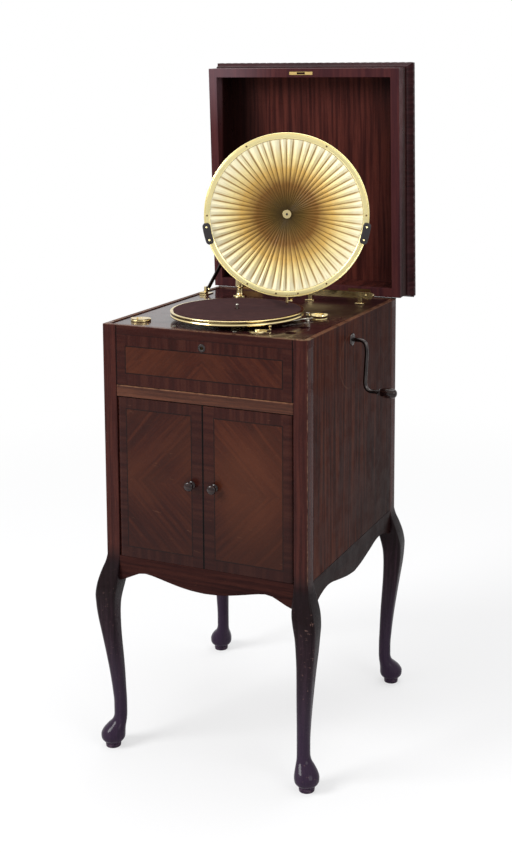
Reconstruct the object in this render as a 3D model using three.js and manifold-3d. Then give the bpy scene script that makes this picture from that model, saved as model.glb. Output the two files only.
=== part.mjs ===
import * as THREE from 'three';
import { mergeVertices } from 'three/addons/utils/BufferGeometryUtils.js';
import Module from 'manifold-3d';

const wasm = await Module();
wasm.setup();

// Gramophone cabinet on cabriole legs, lid open, with a pleated paper diaphragm instead of a horn.
// Millimetres, Z up, the front faces -Y. Positions are laid out from the middle of the case at the floor.

// Case
const caseWidth = 498;
const caseDepth = 560;
const caseHeight = 998;
const postSize = 33;
const postRadius = 1.5;
const sideThickness = 18;
const frontPanelThickness = 16;
const railThickness = 20;
const middleRailThickness = 22;
const rimWidth = 12;
const topRailHeight = 21;
const frontPanelHeight = 115.5;
const middleRailHeight = 26.5;
const shelfThickness = 10;
const shelfRise = 15;
const bottomThickness = 12.5;
const edgeEase = 0.8;

// Legs and aprons
const legHeight = 463;
const apronTop = 464.8;
const apronThickness = 20;

// Doors
const doorThickness = 18;
const doorGap = 0.5;
const pinRadius = 3;
const pinReach = 9;
const knobHeight = 654;
const knobOffset = 28;
const knobRadius = 11;
const knobLength = 21;

// Motor board
const boardThickness = 15;
const boardSink = 2;
const cupRadius = 13;
const cupDepth = 5;

// Lid
const lidSideOverhang = 9;
const lidFrontOverhang = 4;
const lidBackOverhang = 3;
const lidWall = 22;
const lidWallHeight = 88;
const lidPanelThickness = 9.8;
const lidOpenDegrees = 87.5;
const mouldingStart = 50;
const mouldingReach = 12;
const hingeSetback = 4.3;
const hingeLift = 0.2;
const hingeShare = 0.3;
const hingeLength = 60;
const hingeLeaf = 1.6;
const knuckleRadius = 3.5;
const strikeLength = 63;
const strikeWidth = 8;
const lockInset = 8;
const keyholeDrop = 36;

// Lid stay
const stayInset = 27;
const stayFootSetback = 105;
const stayFootRise = 10;
const stayStudRadius = 102;
const stayStudDegrees = 81.15;
const stayWidth = 12;
const stayThickness = 2.5;
const stayPin = 3;

// Turntable
const turntableInset = 175;
const platterRadius = 152.5;
const platterLow = 9;
const platterHigh = 21;
const spindleRadius = 3.6;
const spindleTop = 34;

// Spring motor, gear module and tooth counts
const gearModule = 2;
const barrelTeeth = 46;
const trainTeeth = 34;
const pinionTeeth = 8;
const trainDegrees = 31.4;
const barrelDegrees = 139.5;
const motorDepth = 103;
const plateThickness = 3;
const plateHalfWidth = 98;
const plateHalfDepth = 143;
const screwInset = 9;
const cradleHalf = 80;
const cradleFront = 60;
const cradleBack = 125;

// Crank
const crankOffset = 83;
const crankDrop = 45.4;
const crankRadius = 4.6;
const crankThrow = 116.5;
const gripRadius = 11.5;
const gripLength = 42;

// Speed dial, brake and needle bowls
const dialX = 103.6;
const dialForward = 111;
const leverReach = 27.2;
const dialRadius = 21;
const bowlRadius = 22.5;
const bowlRise = 9;
const openBowlInset = 78.5;
const openBowlBack = 77;
const coveredBowlInset = 58;
const coveredBowlSetback = 69.5;
const cupInset = 68;
const cupSpacing = 67;
const brakeX = 150;
const brakeBack = 44;

// Diaphragm on its ring, turned towards the front right corner
const ringX = 102.5;
const ringBack = 48.4;
const ringLow = 47.4;
const ringYaw = 23.28;
const ringRadius = 187.5;
const ringWidth = 14.5;
const ringThickness = 4.4;
const pleatCount = 60;
const pleatDepth = 5;
const coneDepth = 32;
const paperThickness = 0.7;
const bossRadius = 10.5;
const padWidth = 18;
const padLength = 49;
const padDrop = 41;
const yokeGap = 6.2;
const yokeThickness = 3;
const foldBack = 20;
const foldLift = 2.6;
const needleRise = 25;
const foldRadius = 5.5;

// Swinging arm
const pillarInset = 117;
const pillarSetback = 102;
const armLow = 30;
const armDepth = 10;
const hubRadius = 11;

// Rail behind the turntable
const railSetback = 90;
const railInset = 35;
const railLength = 174;
const railRise = 12;
const railHeight = 16;
const railHalf = 5;

// Clearances
const seam = 0.2;
const looseFit = 0.3;

const halfWidth = caseWidth / 2;
const halfDepth = caseDepth / 2;
const rim = caseHeight;
const boardTop = rim - boardSink;
const boardBottom = boardTop - boardThickness;
const topRailBottom = rim - topRailHeight;
const frontPanelBottom = topRailBottom - frontPanelHeight;
const openingTop = frontPanelBottom - middleRailHeight;
const shelfTop = openingTop + shelfRise;
const radians = THREE.MathUtils.degToRad;

// Places of the fittings, from the edges of the case or from the turntable
const turntableY = -halfDepth + turntableInset;
const crankY = turntableY + crankOffset;
const dialY = turntableY - dialForward;
const openBowlX = halfWidth - openBowlInset;
const openBowlY = turntableY + openBowlBack;
const coveredBowlX = -halfWidth + coveredBowlInset;
const coveredBowlY = -halfDepth + coveredBowlSetback;
const cups = [
  [halfWidth - cupInset, turntableY - cupSpacing / 2 - 1.5],
  [halfWidth - cupInset - 2.5, turntableY - cupSpacing * 1.5 - 1.5],
];
const brakeY = turntableY + brakeBack;
const ringY = turntableY + ringBack;
const ringRise = ringLow + ringRadius;
const foldRise = ringLow + foldLift;
const pillarX = -halfWidth + pillarInset;
const pillarY = halfDepth - pillarSetback;
const stayFootY = halfDepth - stayFootSetback;
const hingeSpread = caseWidth * hingeShare;
const railY = halfDepth - railSetback;
const railX = [halfWidth - railInset - railLength, halfWidth - railInset];

const model = new THREE.Group();
model.name = 'gramophone_cabinet';

function signedVolume(geometry) {
  const p = geometry.attributes.position;
  const index = geometry.index;
  const a = new THREE.Vector3();
  const b = new THREE.Vector3();
  const c = new THREE.Vector3();
  let sum = 0;
  for (let i = 0; i < index.count; i += 3) {
    a.fromBufferAttribute(p, index.getX(i));
    b.fromBufferAttribute(p, index.getX(i + 1));
    c.fromBufferAttribute(p, index.getX(i + 2));
    sum += a.dot(b.cross(c));
  }
  return sum / 6;
}

// Welds the corners, drops collapsed triangles and turns the faces outwards
function tidy(geometry) {
  const bare = new THREE.BufferGeometry();
  bare.setAttribute('position', geometry.attributes.position.clone());
  if (geometry.index) {
    bare.setIndex(geometry.index.clone());
  }
  const welded = mergeVertices(bare, 1e-4);
  const kept = [];
  for (let i = 0; i < welded.index.count; i += 3) {
    const a = welded.index.getX(i);
    const b = welded.index.getX(i + 1);
    const c = welded.index.getX(i + 2);
    if (a !== b && b !== c && c !== a) {
      kept.push(a, b, c);
    }
  }
  welded.setIndex(kept);
  if (signedVolume(welded) < 0) {
    for (let i = 0; i < kept.length; i += 3) {
      [kept[i], kept[i + 1]] = [kept[i + 1], kept[i]];
    }
    welded.setIndex(kept);
  }
  return welded;
}

function toSolid(geometry) {
  const clean = tidy(geometry);
  return new wasm.Manifold(new wasm.Mesh({
    numProp: 3,
    vertProperties: new Float32Array(clean.attributes.position.array),
    triVerts: new Uint32Array(clean.index.array),
  }));
}

function toGeometry(solid) {
  const mesh = solid.getMesh();
  const geometry = new THREE.BufferGeometry();
  geometry.setAttribute('position', new THREE.BufferAttribute(new Float32Array(mesh.vertProperties), 3));
  geometry.setIndex(Array.from(mesh.triVerts));
  return geometry;
}

function cut(body, ...tools) {
  return toGeometry(tools.reduce((left, tool) => left.subtract(toSolid(tool)), toSolid(body)));
}

function fuse(first, ...others) {
  return toGeometry(others.reduce((sum, other) => sum.add(toSolid(other)), toSolid(first)));
}

function add(name, geometry, color, roughness, metalness) {
  const material = new THREE.MeshStandardMaterial({ color, roughness, metalness });
  const mesh = new THREE.Mesh(tidy(geometry), material);
  mesh.name = name;
  model.add(mesh);
}

function block([x0, x1], [y0, y1], [z0, z1]) {
  const geometry = new THREE.BoxGeometry(x1 - x0, y1 - y0, z1 - z0);
  return geometry.translate((x0 + x1) / 2, (y0 + y1) / 2, (z0 + z1) / 2);
}

// A block with all its edges eased
function board(xs, ys, zs, ease = edgeEase) {
  const spans = [xs, ys, zs];
  const middle = spans.map(([low, high]) => (low + high) / 2);
  const corner = (signs, axis) => spans.map(([low, high], i) => {
    const end = signs[i] > 0 ? high : low;
    return i === axis ? end : end - signs[i] * ease;
  });
  const triangles = [];
  const face = (...points) => {
    const [a, b, c] = points.slice(0, 3).map((p) => new THREE.Vector3(...p));
    const normal = b.clone().sub(a).cross(c.clone().sub(a));
    const outwards = a.add(b).add(c).divideScalar(3).sub(new THREE.Vector3(...middle));
    const ring = normal.dot(outwards) > 0 ? points : points.slice().reverse();
    for (let i = 1; i + 1 < ring.length; i += 1) {
      triangles.push(...ring[0], ...ring[i], ...ring[i + 1]);
    }
  };
  const pair = [-1, 1];
  for (let axis = 0; axis < 3; axis += 1) {
    const u = (axis + 1) % 3;
    const v = (axis + 2) % 3;
    const signs = (s, t, w) => {
      const out = [0, 0, 0];
      out[axis] = s;
      out[u] = t;
      out[v] = w;
      return out;
    };
    for (const s of pair) {
      face(...[[-1, -1], [1, -1], [1, 1], [-1, 1]].map(([t, w]) => corner(signs(s, t, w), axis)));
      for (const t of pair) {
        face(
          corner(signs(-1, s, t), u),
          corner(signs(1, s, t), u),
          corner(signs(1, s, t), v),
          corner(signs(-1, s, t), v),
        );
        for (const w of axis === 0 ? pair : []) {
          face(corner([s, t, w], 0), corner([s, t, w], 1), corner([s, t, w], 2));
        }
      }
    }
  }
  const geometry = new THREE.BufferGeometry();
  geometry.setAttribute('position', new THREE.Float32BufferAttribute(triangles, 3));
  return geometry;
}

// Turned about a vertical axis: pairs of radius and height
function turned(profile, sides = 32, [x, y, z] = [0, 0, 0]) {
  const points = profile.map(([r, h]) => new THREE.Vector2(r, h));
  const onAxis = points[0].x === 0 && points[points.length - 1].x === 0;
  if (!onAxis) {
    points.push(points[0].clone());
  }
  return new THREE.LatheGeometry(points, sides).rotateX(Math.PI / 2).translate(x, y, z);
}

function disc(radius, low, high, sides = 24, [x, y] = [0, 0]) {
  return turned([[0, low], [radius, low], [radius, high], [0, high]], sides, [x, y, 0]);
}

const toX = (geometry) => geometry.rotateY(Math.PI / 2);
const toFront = (geometry) => geometry.rotateX(Math.PI / 2);
const toBack = (geometry) => geometry.rotateX(-Math.PI / 2);

// A rod lying along X
function rodX(radius, x0, x1, [y, z], sides = 20) {
  return toX(disc(radius, x0, x1, sides)).translate(0, y, z);
}

// Rings of equal length joined into a closed body
function loft(rings) {
  const positions = [];
  const put = (...points) => points.forEach((p) => positions.push(p.x, p.y, p.z));
  const sides = rings[0].length;
  for (let j = 0; j + 1 < rings.length; j += 1) {
    for (let i = 0; i < sides; i += 1) {
      const k = (i + 1) % sides;
      put(rings[j][i], rings[j][k], rings[j + 1][k]);
      put(rings[j][i], rings[j + 1][k], rings[j + 1][i]);
    }
  }
  const cap = (ring, reversed) => {
    const centre = ring.reduce((sum, p) => sum.add(p), new THREE.Vector3()).divideScalar(sides);
    for (let i = 0; i < sides; i += 1) {
      const k = (i + 1) % sides;
      put(centre, reversed ? ring[k] : ring[i], reversed ? ring[i] : ring[k]);
    }
  };
  cap(rings[0], true);
  cap(rings[rings.length - 1], false);
  const geometry = new THREE.BufferGeometry();
  geometry.setAttribute('position', new THREE.Float32BufferAttribute(positions, 3));
  return geometry;
}

// A profile of outward offset and height carried round a rectangle with mitred corners
function mitred(profile, [x0, x1], [y0, y1]) {
  const corners = [[x0, y0, -1, -1], [x1, y0, 1, -1], [x1, y1, 1, 1], [x0, y1, -1, 1]];
  const positions = [];
  const at = ([x, y, sx, sy], [out, z]) => [x + sx * out, y + sy * out, z];
  for (let c = 0; c < 4; c += 1) {
    const here = corners[c];
    const next = corners[(c + 1) % 4];
    for (let i = 0; i < profile.length; i += 1) {
      const p = profile[i];
      const q = profile[(i + 1) % profile.length];
      positions.push(...at(here, p), ...at(next, p), ...at(next, q));
      positions.push(...at(here, p), ...at(next, q), ...at(here, q));
    }
  }
  const geometry = new THREE.BufferGeometry();
  geometry.setAttribute('position', new THREE.Float32BufferAttribute(positions, 3));
  return geometry;
}

// Corners of a path softened by short curves
function softened(points, reach, steps = 4) {
  const out = [points[0].clone()];
  for (let i = 1; i + 1 < points.length; i += 1) {
    const before = points[i - 1].clone().sub(points[i]);
    const after = points[i + 1].clone().sub(points[i]);
    const start = points[i].clone().add(before.clone().setLength(Math.min(reach, before.length() / 2)));
    const end = points[i].clone().add(after.clone().setLength(Math.min(reach, after.length() / 2)));
    const curve = new THREE.QuadraticBezierCurve3(start, points[i], end);
    out.push(...curve.getPoints(steps));
  }
  out.push(points[points.length - 1].clone());
  return out.filter((p, i) => i === 0 || p.distanceTo(out[i - 1]) > 0.05);
}

// A round bar along a path, its radius may change from point to point
function wire(points, radius, sides = 12) {
  const radiusAt = (i) => (Array.isArray(radius) ? radius[i] : radius);
  const tangents = points.map((p, i) => {
    const before = points[Math.max(i - 1, 0)];
    const after = points[Math.min(i + 1, points.length - 1)];
    return after.clone().sub(before).normalize();
  });
  let side = new THREE.Vector3(0, 1, 0);
  if (Math.abs(side.dot(tangents[0])) > 0.9) {
    side = new THREE.Vector3(1, 0, 0);
  }
  const rings = points.map((p, i) => {
    side = side.clone().addScaledVector(tangents[i], -side.dot(tangents[i])).normalize();
    const other = tangents[i].clone().cross(side);
    return Array.from({ length: sides }, (unused, k) => {
      const angle = (2 * Math.PI * k) / sides;
      return p.clone()
        .addScaledVector(side, radiusAt(i) * Math.cos(angle))
        .addScaledVector(other, radiusAt(i) * Math.sin(angle));
    });
  });
  return loft(rings);
}

// A flat outline of pairs, raised from low to high
function slab(outline, low, high, holes = []) {
  const shape = new THREE.Shape(outline.map(([x, y]) => new THREE.Vector2(x, y)));
  for (const hole of holes) {
    shape.holes.push(new THREE.Path(hole.map(([x, y]) => new THREE.Vector2(x, y))));
  }
  return new THREE.ExtrudeGeometry(shape, { depth: high - low, bevelEnabled: false }).translate(0, 0, low);
}

function circle(radius, [x, y] = [0, 0], sides = 16) {
  return Array.from({ length: sides }, (unused, i) => {
    const angle = (2 * Math.PI * i) / sides;
    return [x + radius * Math.cos(angle), y + radius * Math.sin(angle)];
  });
}

// Monotone curve through the rows of a table, read at a position in its first column
function readTable(table, column, at) {
  const last = table.length - 1;
  if (at <= table[0][0]) {
    return table[0][column];
  }
  if (at >= table[last][0]) {
    return table[last][column];
  }
  const rise = (i) => (table[i + 1][column] - table[i][column]) / (table[i + 1][0] - table[i][0]);
  const slope = (i) => {
    if (i === 0) {
      return rise(0);
    }
    if (i === last) {
      return rise(last - 1);
    }
    const before = rise(i - 1);
    const after = rise(i);
    return before * after <= 0 ? 0 : (2 * before * after) / (before + after);
  };
  let i = 0;
  while (at > table[i + 1][0]) {
    i += 1;
  }
  const span = table[i + 1][0] - table[i][0];
  const t = (at - table[i][0]) / span;
  const start = table[i][column] * (2 * t ** 3 - 3 * t ** 2 + 1);
  const leaving = slope(i) * span * (t ** 3 - 2 * t ** 2 + t);
  const end = table[i + 1][column] * (3 * t ** 2 - 2 * t ** 3);
  const arriving = slope(i + 1) * span * (t ** 3 - t ** 2);
  return start + leaving + end + arriving;
}

// Seat for the motor board all round the top of the case
const boardSeat = block(
  [-(halfWidth - rimWidth), halfWidth - rimWidth],
  [-(halfDepth - rimWidth), halfDepth - rimWidth],
  [boardBottom - seam, rim + 5],
);

// Legs: share of the leg height, swell beyond the case corner, reach inwards in post sizes, corner radius
const legForm = [
  [0, 10.8, 0.58, 15],
  [0.016, 11.5, 0.6, 16],
  [0.026, 17.8, 0.79, 22],
  [0.047, 23.3, 0.96, 27.5],
  [0.065, 23.8, 0.976, 28],
  [0.086, 20, 0.97, 26],
  [0.108, 12.1, 0.967, 22],
  [0.134, 0.94, 0.97, 16],
  [0.162, -2.3, 0.979, 15],
  [0.216, -2.3, 0.979, 14.8],
  [0.302, -0.06, 0.941, 14],
  [0.389, 3.4, 0.897, 13],
  [0.475, 7.85, 0.838, 12.5],
  [0.551, 12.3, 0.779, 12.5],
  [0.626, 16.8, 0.733, 12],
  [0.691, 20.7, 0.721, 12],
  [0.745, 22.9, 0.745, 12],
  [0.795, 23.8, 0.83, 11],
  [0.842, 21.1, 0.94, 8.5],
  [0.876, 17.4, 1, 6.5],
  [0.929, 9.8, 1, 4],
  [0.968, 3.15, 1, 2.5],
  [1, 0, 1, 1.5],
];
const legLevels = [0, 0.016, 0.026, 0.036, 0.05, 0.068, 0.084, 0.098, 0.112, 0.132, 0.155, 0.2,
  0.29, 0.389, 0.475, 0.56, 0.64, 0.71, 0.77, 0.815, 0.85, 0.88, 0.92, 0.968, 1];

function legRing(sx, sy, z, swell, reach, radius) {
  const half = (swell + reach) / 2;
  const x = sx * (halfWidth + (swell - reach) / 2);
  const y = sy * (halfDepth + (swell - reach) / 2);
  const r = Math.min(radius, half - 0.3);
  const ring = [];
  for (let corner = 0; corner < 4; corner += 1) {
    const cx = corner === 0 || corner === 3 ? 1 : -1;
    const cy = corner < 2 ? 1 : -1;
    for (let i = 0; i < 4; i += 1) {
      const angle = (corner + i / 3) * (Math.PI / 2);
      ring.push(new THREE.Vector3(
        x + cx * (half - r) + r * Math.cos(angle),
        y + cy * (half - r) + r * Math.sin(angle),
        z,
      ));
    }
  }
  return ring;
}

function leg(sx, sy) {
  const rings = legLevels.map((share) => legRing(
    sx,
    sy,
    share * legHeight,
    readTable(legForm, 1, share),
    readTable(legForm, 2, share) * postSize,
    readTable(legForm, 3, share),
  ));
  rings.push(legRing(sx, sy, rim - edgeEase, 0, postSize, postRadius));
  rings.push(legRing(sx, sy, rim, -edgeEase, postSize - edgeEase, postRadius));
  return cut(loft(rings), boardSeat);
}

const darkWood = 0x3a1d18;
const veneer = 0x8a4a30;
const brassTone = 0xd9bd7a;

add('leg_front_left', leg(-1, -1), darkWood, 0.35, 0);
add('leg_front_right', leg(1, -1), darkWood, 0.35, 0);
add('leg_rear_left', leg(-1, 1), darkWood, 0.35, 0);
add('leg_rear_right', leg(1, 1), darkWood, 0.35, 0);

// Case sides, back and front rails stand between the posts
const panelBottom = apronTop + seam;
const betweenX = halfWidth - postSize - seam;
const betweenY = halfDepth - postSize - seam;
const crankZ = rim - crankDrop;
const bushRadius = crankRadius + 4.2;

function sidePanel(side) {
  const xs = [halfWidth - sideThickness, halfWidth].map((x) => side * x).sort((a, b) => a - b);
  return cut(board(xs, [-betweenY, betweenY], [panelBottom, rim]), boardSeat);
}

add('side_panel_left', sidePanel(-1), veneer, 0.4, 0);
add(
  'side_panel_right',
  cut(sidePanel(1), rodX(bushRadius + seam, halfWidth - sideThickness - 1, halfWidth + 1,
    [crankY, crankZ])),
  veneer,
  0.4,
  0,
);

// Hinge line of the lid and the recesses for the fixed leaves
const hingeY = halfDepth + hingeSetback;
const hingeZ = rim + hingeLift;
const leafReach = rimWidth - 1;

function leafPocket(x, grow) {
  return block(
    [x - hingeLength / 2 - grow, x + hingeLength / 2 + grow],
    [halfDepth - leafReach - grow, halfDepth + 1],
    [rim - hingeLeaf - grow, rim + 1],
  );
}

add(
  'back_panel',
  cut(
    board([-betweenX, betweenX], [halfDepth - sideThickness, halfDepth], [panelBottom, rim]),
    boardSeat,
    leafPocket(-hingeSpread, seam),
    leafPocket(hingeSpread, seam),
  ),
  0x5a2e20,
  0.5,
  0,
);

// Lock in the front of the case, its bolt rises through the rim
const lockY = -(halfDepth - lockInset);
const keyZ = rim - keyholeDrop;
const boltHalf = 10;
const boltThickness = 4;
const lockHalf = 30;
const lockLow = keyZ - 26;
const lockHigh = topRailBottom - 1;
const boltSlot = block(
  [-boltHalf - looseFit, boltHalf + looseFit],
  [lockY - boltThickness / 2 - looseFit, lockY + boltThickness / 2 + looseFit],
  [keyZ - 14, rim + 5],
);
const lockRoom = block(
  [-lockHalf - seam, lockHalf + seam],
  [lockY - boltThickness / 2 - 1.6 - seam, -halfDepth + frontPanelThickness + 5],
  [lockLow - seam, topRailBottom],
);
const keyRoom = toFront(disc(5.8 + seam, 0, 30, 14)).translate(0, -halfDepth + 15, keyZ);

const frontFace = fuse(
  board([-betweenX, betweenX], [-halfDepth, -halfDepth + frontPanelThickness],
    [frontPanelBottom + seam, rim]),
  block([-betweenX, betweenX], [-halfDepth + 5, -halfDepth + railThickness],
    [topRailBottom, rim - edgeEase]),
);
add(
  'upper_front_panel',
  cut(frontFace, boardSeat, boltSlot, lockRoom, keyRoom),
  veneer,
  0.3,
  0,
);

// Doors turn on pins let into the apron and the middle rail
const doorEdge = halfWidth - postSize - doorGap;
const pinX = doorEdge - pinReach;
const pinY = -halfDepth + doorThickness / 2;
const doorLow = apronTop + 0.7;
const doorHigh = openingTop - 0.6;
const pinHole = (side, z0, z1) => disc(pinRadius + looseFit, z0, z1, 14, [side * pinX, pinY]);

add(
  'middle_rail_front',
  cut(
    board(
      [-betweenX, betweenX],
      [-halfDepth, -halfDepth + middleRailThickness],
      [openingTop, frontPanelBottom],
      1.2,
    ),
    pinHole(-1, openingTop - 1, openingTop + 9),
    pinHole(1, openingTop - 1, openingTop + 9),
  ),
  0x9a5a3a,
  0.3,
  0,
);

// Lower edge of an apron: distance from the post and drop below the apron top
const frontEdge = [[0, 58], [0.02, 57], [0.14, 45.5], [0.24, 36], [0.3, 34], [0.38, 36],
  [0.53, 43], [0.71, 51],
  [0.86, 55.5], [1, 57]];
const sideEdge = [[0, 60], [0.02, 59.5], [0.13, 49], [0.24, 42], [0.33, 39.8], [0.42, 42],
  [0.55, 49], [0.68, 56],
  [0.85, 64], [1, 67.8]];

function apron(half, edge, thickness) {
  const steps = 26;
  const outline = [[half, apronTop], [-half, apronTop]];
  for (let i = 0; i <= steps; i += 1) {
    const t = -1 + (2 * i) / steps;
    outline.push([t * half, apronTop - readTable(edge, 1, 1 - Math.abs(t))]);
  }
  return toBack(slab(outline.map(([x, z]) => [x, -z]), 0, thickness));
}

// The outline runs in X and Z, its front face at y 0 and its back at the thickness
const frontApron = () => apron(betweenX, frontEdge, apronThickness).translate(0, -halfDepth, 0);

add(
  'apron_front',
  cut(frontApron(), pinHole(-1, apronTop - 10, apronTop + 1), pinHole(1, apronTop - 10, apronTop + 1)),
  darkWood,
  0.3,
  0,
);
add('apron_back', frontApron().rotateZ(Math.PI), darkWood, 0.35, 0);
const sideApron = (turn) => apron(betweenY, sideEdge, apronThickness)
  .translate(0, -halfWidth, 0)
  .rotateZ(turn);
add('apron_left', sideApron(-Math.PI / 2), darkWood, 0.35, 0);
add('apron_right', sideApron(Math.PI / 2), darkWood, 0.35, 0);

function notched(x, front, back, low, high) {
  const nx = betweenX;
  const ny = betweenY;
  return slab([
    [-nx, -front], [nx, -front], [nx, -ny], [x, -ny], [x, ny], [nx, ny],
    [nx, back], [-nx, back], [-nx, ny], [-x, ny], [-x, -ny], [-nx, -ny],
  ], low, high);
}

add(
  'bottom_board',
  notched(
    halfWidth - apronThickness - seam,
    halfDepth - apronThickness - seam,
    halfDepth - apronThickness - seam,
    apronTop - 0.3 - bottomThickness,
    apronTop - 0.3,
  ),
  0x6e4230,
  0.6,
  0,
);
add(
  'motor_shelf',
  notched(
    halfWidth - sideThickness - seam,
    halfDepth - middleRailThickness - seam,
    halfDepth - sideThickness - seam,
    shelfTop - shelfThickness,
    shelfTop,
  ),
  0x6e4230,
  0.6,
  0,
);

function door(side) {
  const inner = doorGap;
  const outline = [[inner, -doorThickness / 2], [pinX, -doorThickness / 2]];
  for (let i = 1; i < 8; i += 1) {
    const angle = -Math.PI / 2 + (Math.PI * i) / 8;
    outline.push([pinX + pinReach * Math.cos(angle), (doorThickness / 2) * Math.sin(angle)]);
  }
  outline.push([pinX, doorThickness / 2], [inner, doorThickness / 2]);
  const body = slab(outline.map(([x, y]) => [side * x, pinY + y]), doorLow, doorHigh);
  const shankHole = toFront(disc(3.5 + seam, 0, 30, 10))
    .translate(side * knobOffset, -halfDepth + 12, knobHeight);
  return fuse(
    cut(body, shankHole),
    disc(pinRadius, apronTop - 9, doorLow + 5, 10, [side * pinX, pinY]),
    disc(pinRadius, doorHigh - 5, openingTop + 8, 10, [side * pinX, pinY]),
  );
}

add('door_left', door(-1), veneer, 0.3, 0);
add('door_right', door(1), veneer, 0.3, 0);

function knob(side) {
  const r = knobRadius;
  const l = knobLength;
  const form = [[0, -10], [3.5, -10], [3.5, seam], [r * 0.75, seam], [r * 0.78, l * 0.06],
    [r * 0.62, l * 0.12],
    [r * 0.42, l * 0.22], [r * 0.4, l * 0.36], [r * 0.62, l * 0.46], [r * 0.9, l * 0.56], [r, l * 0.7],
    [r * 0.93, l * 0.85], [r * 0.65, l * 0.96], [0, l]];
  return toFront(turned(form, 18)).translate(side * knobOffset, -halfDepth, knobHeight);
}

add('door_knob_left', knob(-1), 0x2a1512, 0.3, 0);
add('door_knob_right', knob(1), 0x2a1512, 0.3, 0);

const lockBody = block([-lockHalf, lockHalf], [lockY - 3.6, lockY + 10], [lockLow, lockHigh]);
const keyOpening = toFront(fuse(disc(2.6, 0, 12, 10), block([-1, 1], [-6.5, 0], [0, 12])));
add(
  'lid_lock',
  cut(lockBody, boltSlot, keyOpening.translate(0, lockY + 3, keyZ)),
  0xb59a5e,
  0.4,
  1,
);
add(
  'lock_bolt',
  board(
    [-boltHalf, boltHalf],
    [lockY - boltThickness / 2, lockY + boltThickness / 2],
    [keyZ + 10, rim - 0.6],
    0.5,
  ),
  0xb59a5e,
  0.35,
  1,
);
const escutcheonSleeve = turned([[3.4, -4], [5.8, -4], [5.8, seam], [9, seam], [8.4, 1.4],
  [4, 1.4], [3.4, 0.6]], 18);
add(
  'keyhole_escutcheon',
  toFront(escutcheonSleeve).translate(0, -halfDepth, keyZ),
  brassTone,
  0.35,
  1,
);

// Motor board with its holes
const bowlHole = bowlRadius * 0.76;
const screwX = plateHalfWidth - screwInset;
const screwY = plateHalfDepth - screwInset;
const motorScrews = [[-screwX, -screwY], [screwX - 29, -screwY], [-screwX, screwY], [screwX, screwY]]
  .map(([x, y]) => [x, turntableY + y]);
const boardCuts = [
  disc(11, boardBottom - 1, boardTop + 1, 18, [0, turntableY]),
  disc(bowlHole, boardBottom - 1, boardTop + 1, 18, [openBowlX, openBowlY]),
  disc(bowlHole, boardBottom - 1, boardTop + 1, 18, [coveredBowlX, coveredBowlY]),
  ...cups.map((at) => disc(cupRadius, boardTop - cupDepth, boardTop + 1, 16, at)),
  disc(3.3, boardBottom - 1, boardTop + 1, 10, [dialX, dialY]),
  ...motorScrews.map((at) => disc(3.2, boardBottom - 1, boardTop + 1, 8, at)),
];
add(
  'motor_board',
  cut(
    board(
      [-(halfWidth - rimWidth - seam), halfWidth - rimWidth - seam],
      [-(halfDepth - rimWidth - seam), halfDepth - rimWidth - seam],
      [boardBottom, boardTop],
    ),
    ...boardCuts,
  ),
  0x7a3d2c,
  0.15,
  0,
);

// Lid, laid out closed and then swung open about the hinge line
const lidX = halfWidth + lidSideOverhang;
const lidFront = halfDepth + lidFrontOverhang;
const lidBack = halfDepth + lidBackOverhang;
const lidLow = rim + 0.4;
const lidWallTop = rim + lidWallHeight;
const lidTop = lidWallTop + seam + lidPanelThickness;

function openLid(geometry) {
  return geometry
    .translate(0, -hingeY, -hingeZ)
    .rotateX(-radians(lidOpenDegrees))
    .translate(0, hingeY, hingeZ);
}

const lidOuter = [[-lidX, lidX], [-lidFront, lidBack]];
const wallProfile = [[0, lidLow + 0.6], [0, lidWallTop], [-lidWall, lidWallTop],
  [-lidWall, lidLow + 0.6],
  [-lidWall + 0.6, lidLow], [-0.6, lidLow]];

function knuckle(x, share0, share1, grow, radius) {
  const start = x - hingeLength / 2 + hingeLength * share0 - grow;
  const end = x - hingeLength / 2 + hingeLength * share1 + grow;
  return rodX(radius, start, end, [hingeY, hingeZ], 12);
}

const movingReach = lidWall - 5;

function hingeRecess(x) {
  return [
    block(
      [x - hingeLength / 2 - seam, x + hingeLength / 2 + seam],
      [lidBack - movingReach - seam, lidBack + 1],
      [lidLow - 1, lidLow + hingeLeaf + seam],
    ),
    knuckle(x, 0, 1, looseFit, knuckleRadius + 0.5),
  ];
}

const strikeRecess = block(
  [-strikeLength / 2 - seam, strikeLength / 2 + seam],
  [lockY - strikeWidth / 2 - seam, lockY + strikeWidth / 2 + seam],
  [lidLow - 1, lidLow + 1.5 + seam],
);
const boltPocket = block(
  [-boltHalf - 1, boltHalf + 1],
  [lockY - boltThickness / 2 - 0.6, lockY + boltThickness / 2 + 0.6],
  [lidLow - 1, lidLow + 8],
);

add(
  'lid_frame',
  openLid(cut(
    mitred(wallProfile, ...lidOuter),
    ...hingeRecess(-hingeSpread),
    ...hingeRecess(hingeSpread),
    strikeRecess,
    boltPocket,
  )),
  0x6b3424,
  0.3,
  0,
);
add(
  'lid_panel',
  openLid(board([-lidX, lidX], [-lidFront, lidBack], [lidWallTop + seam, lidTop])),
  0x7a3d2c,
  0.3,
  0,
);

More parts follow.
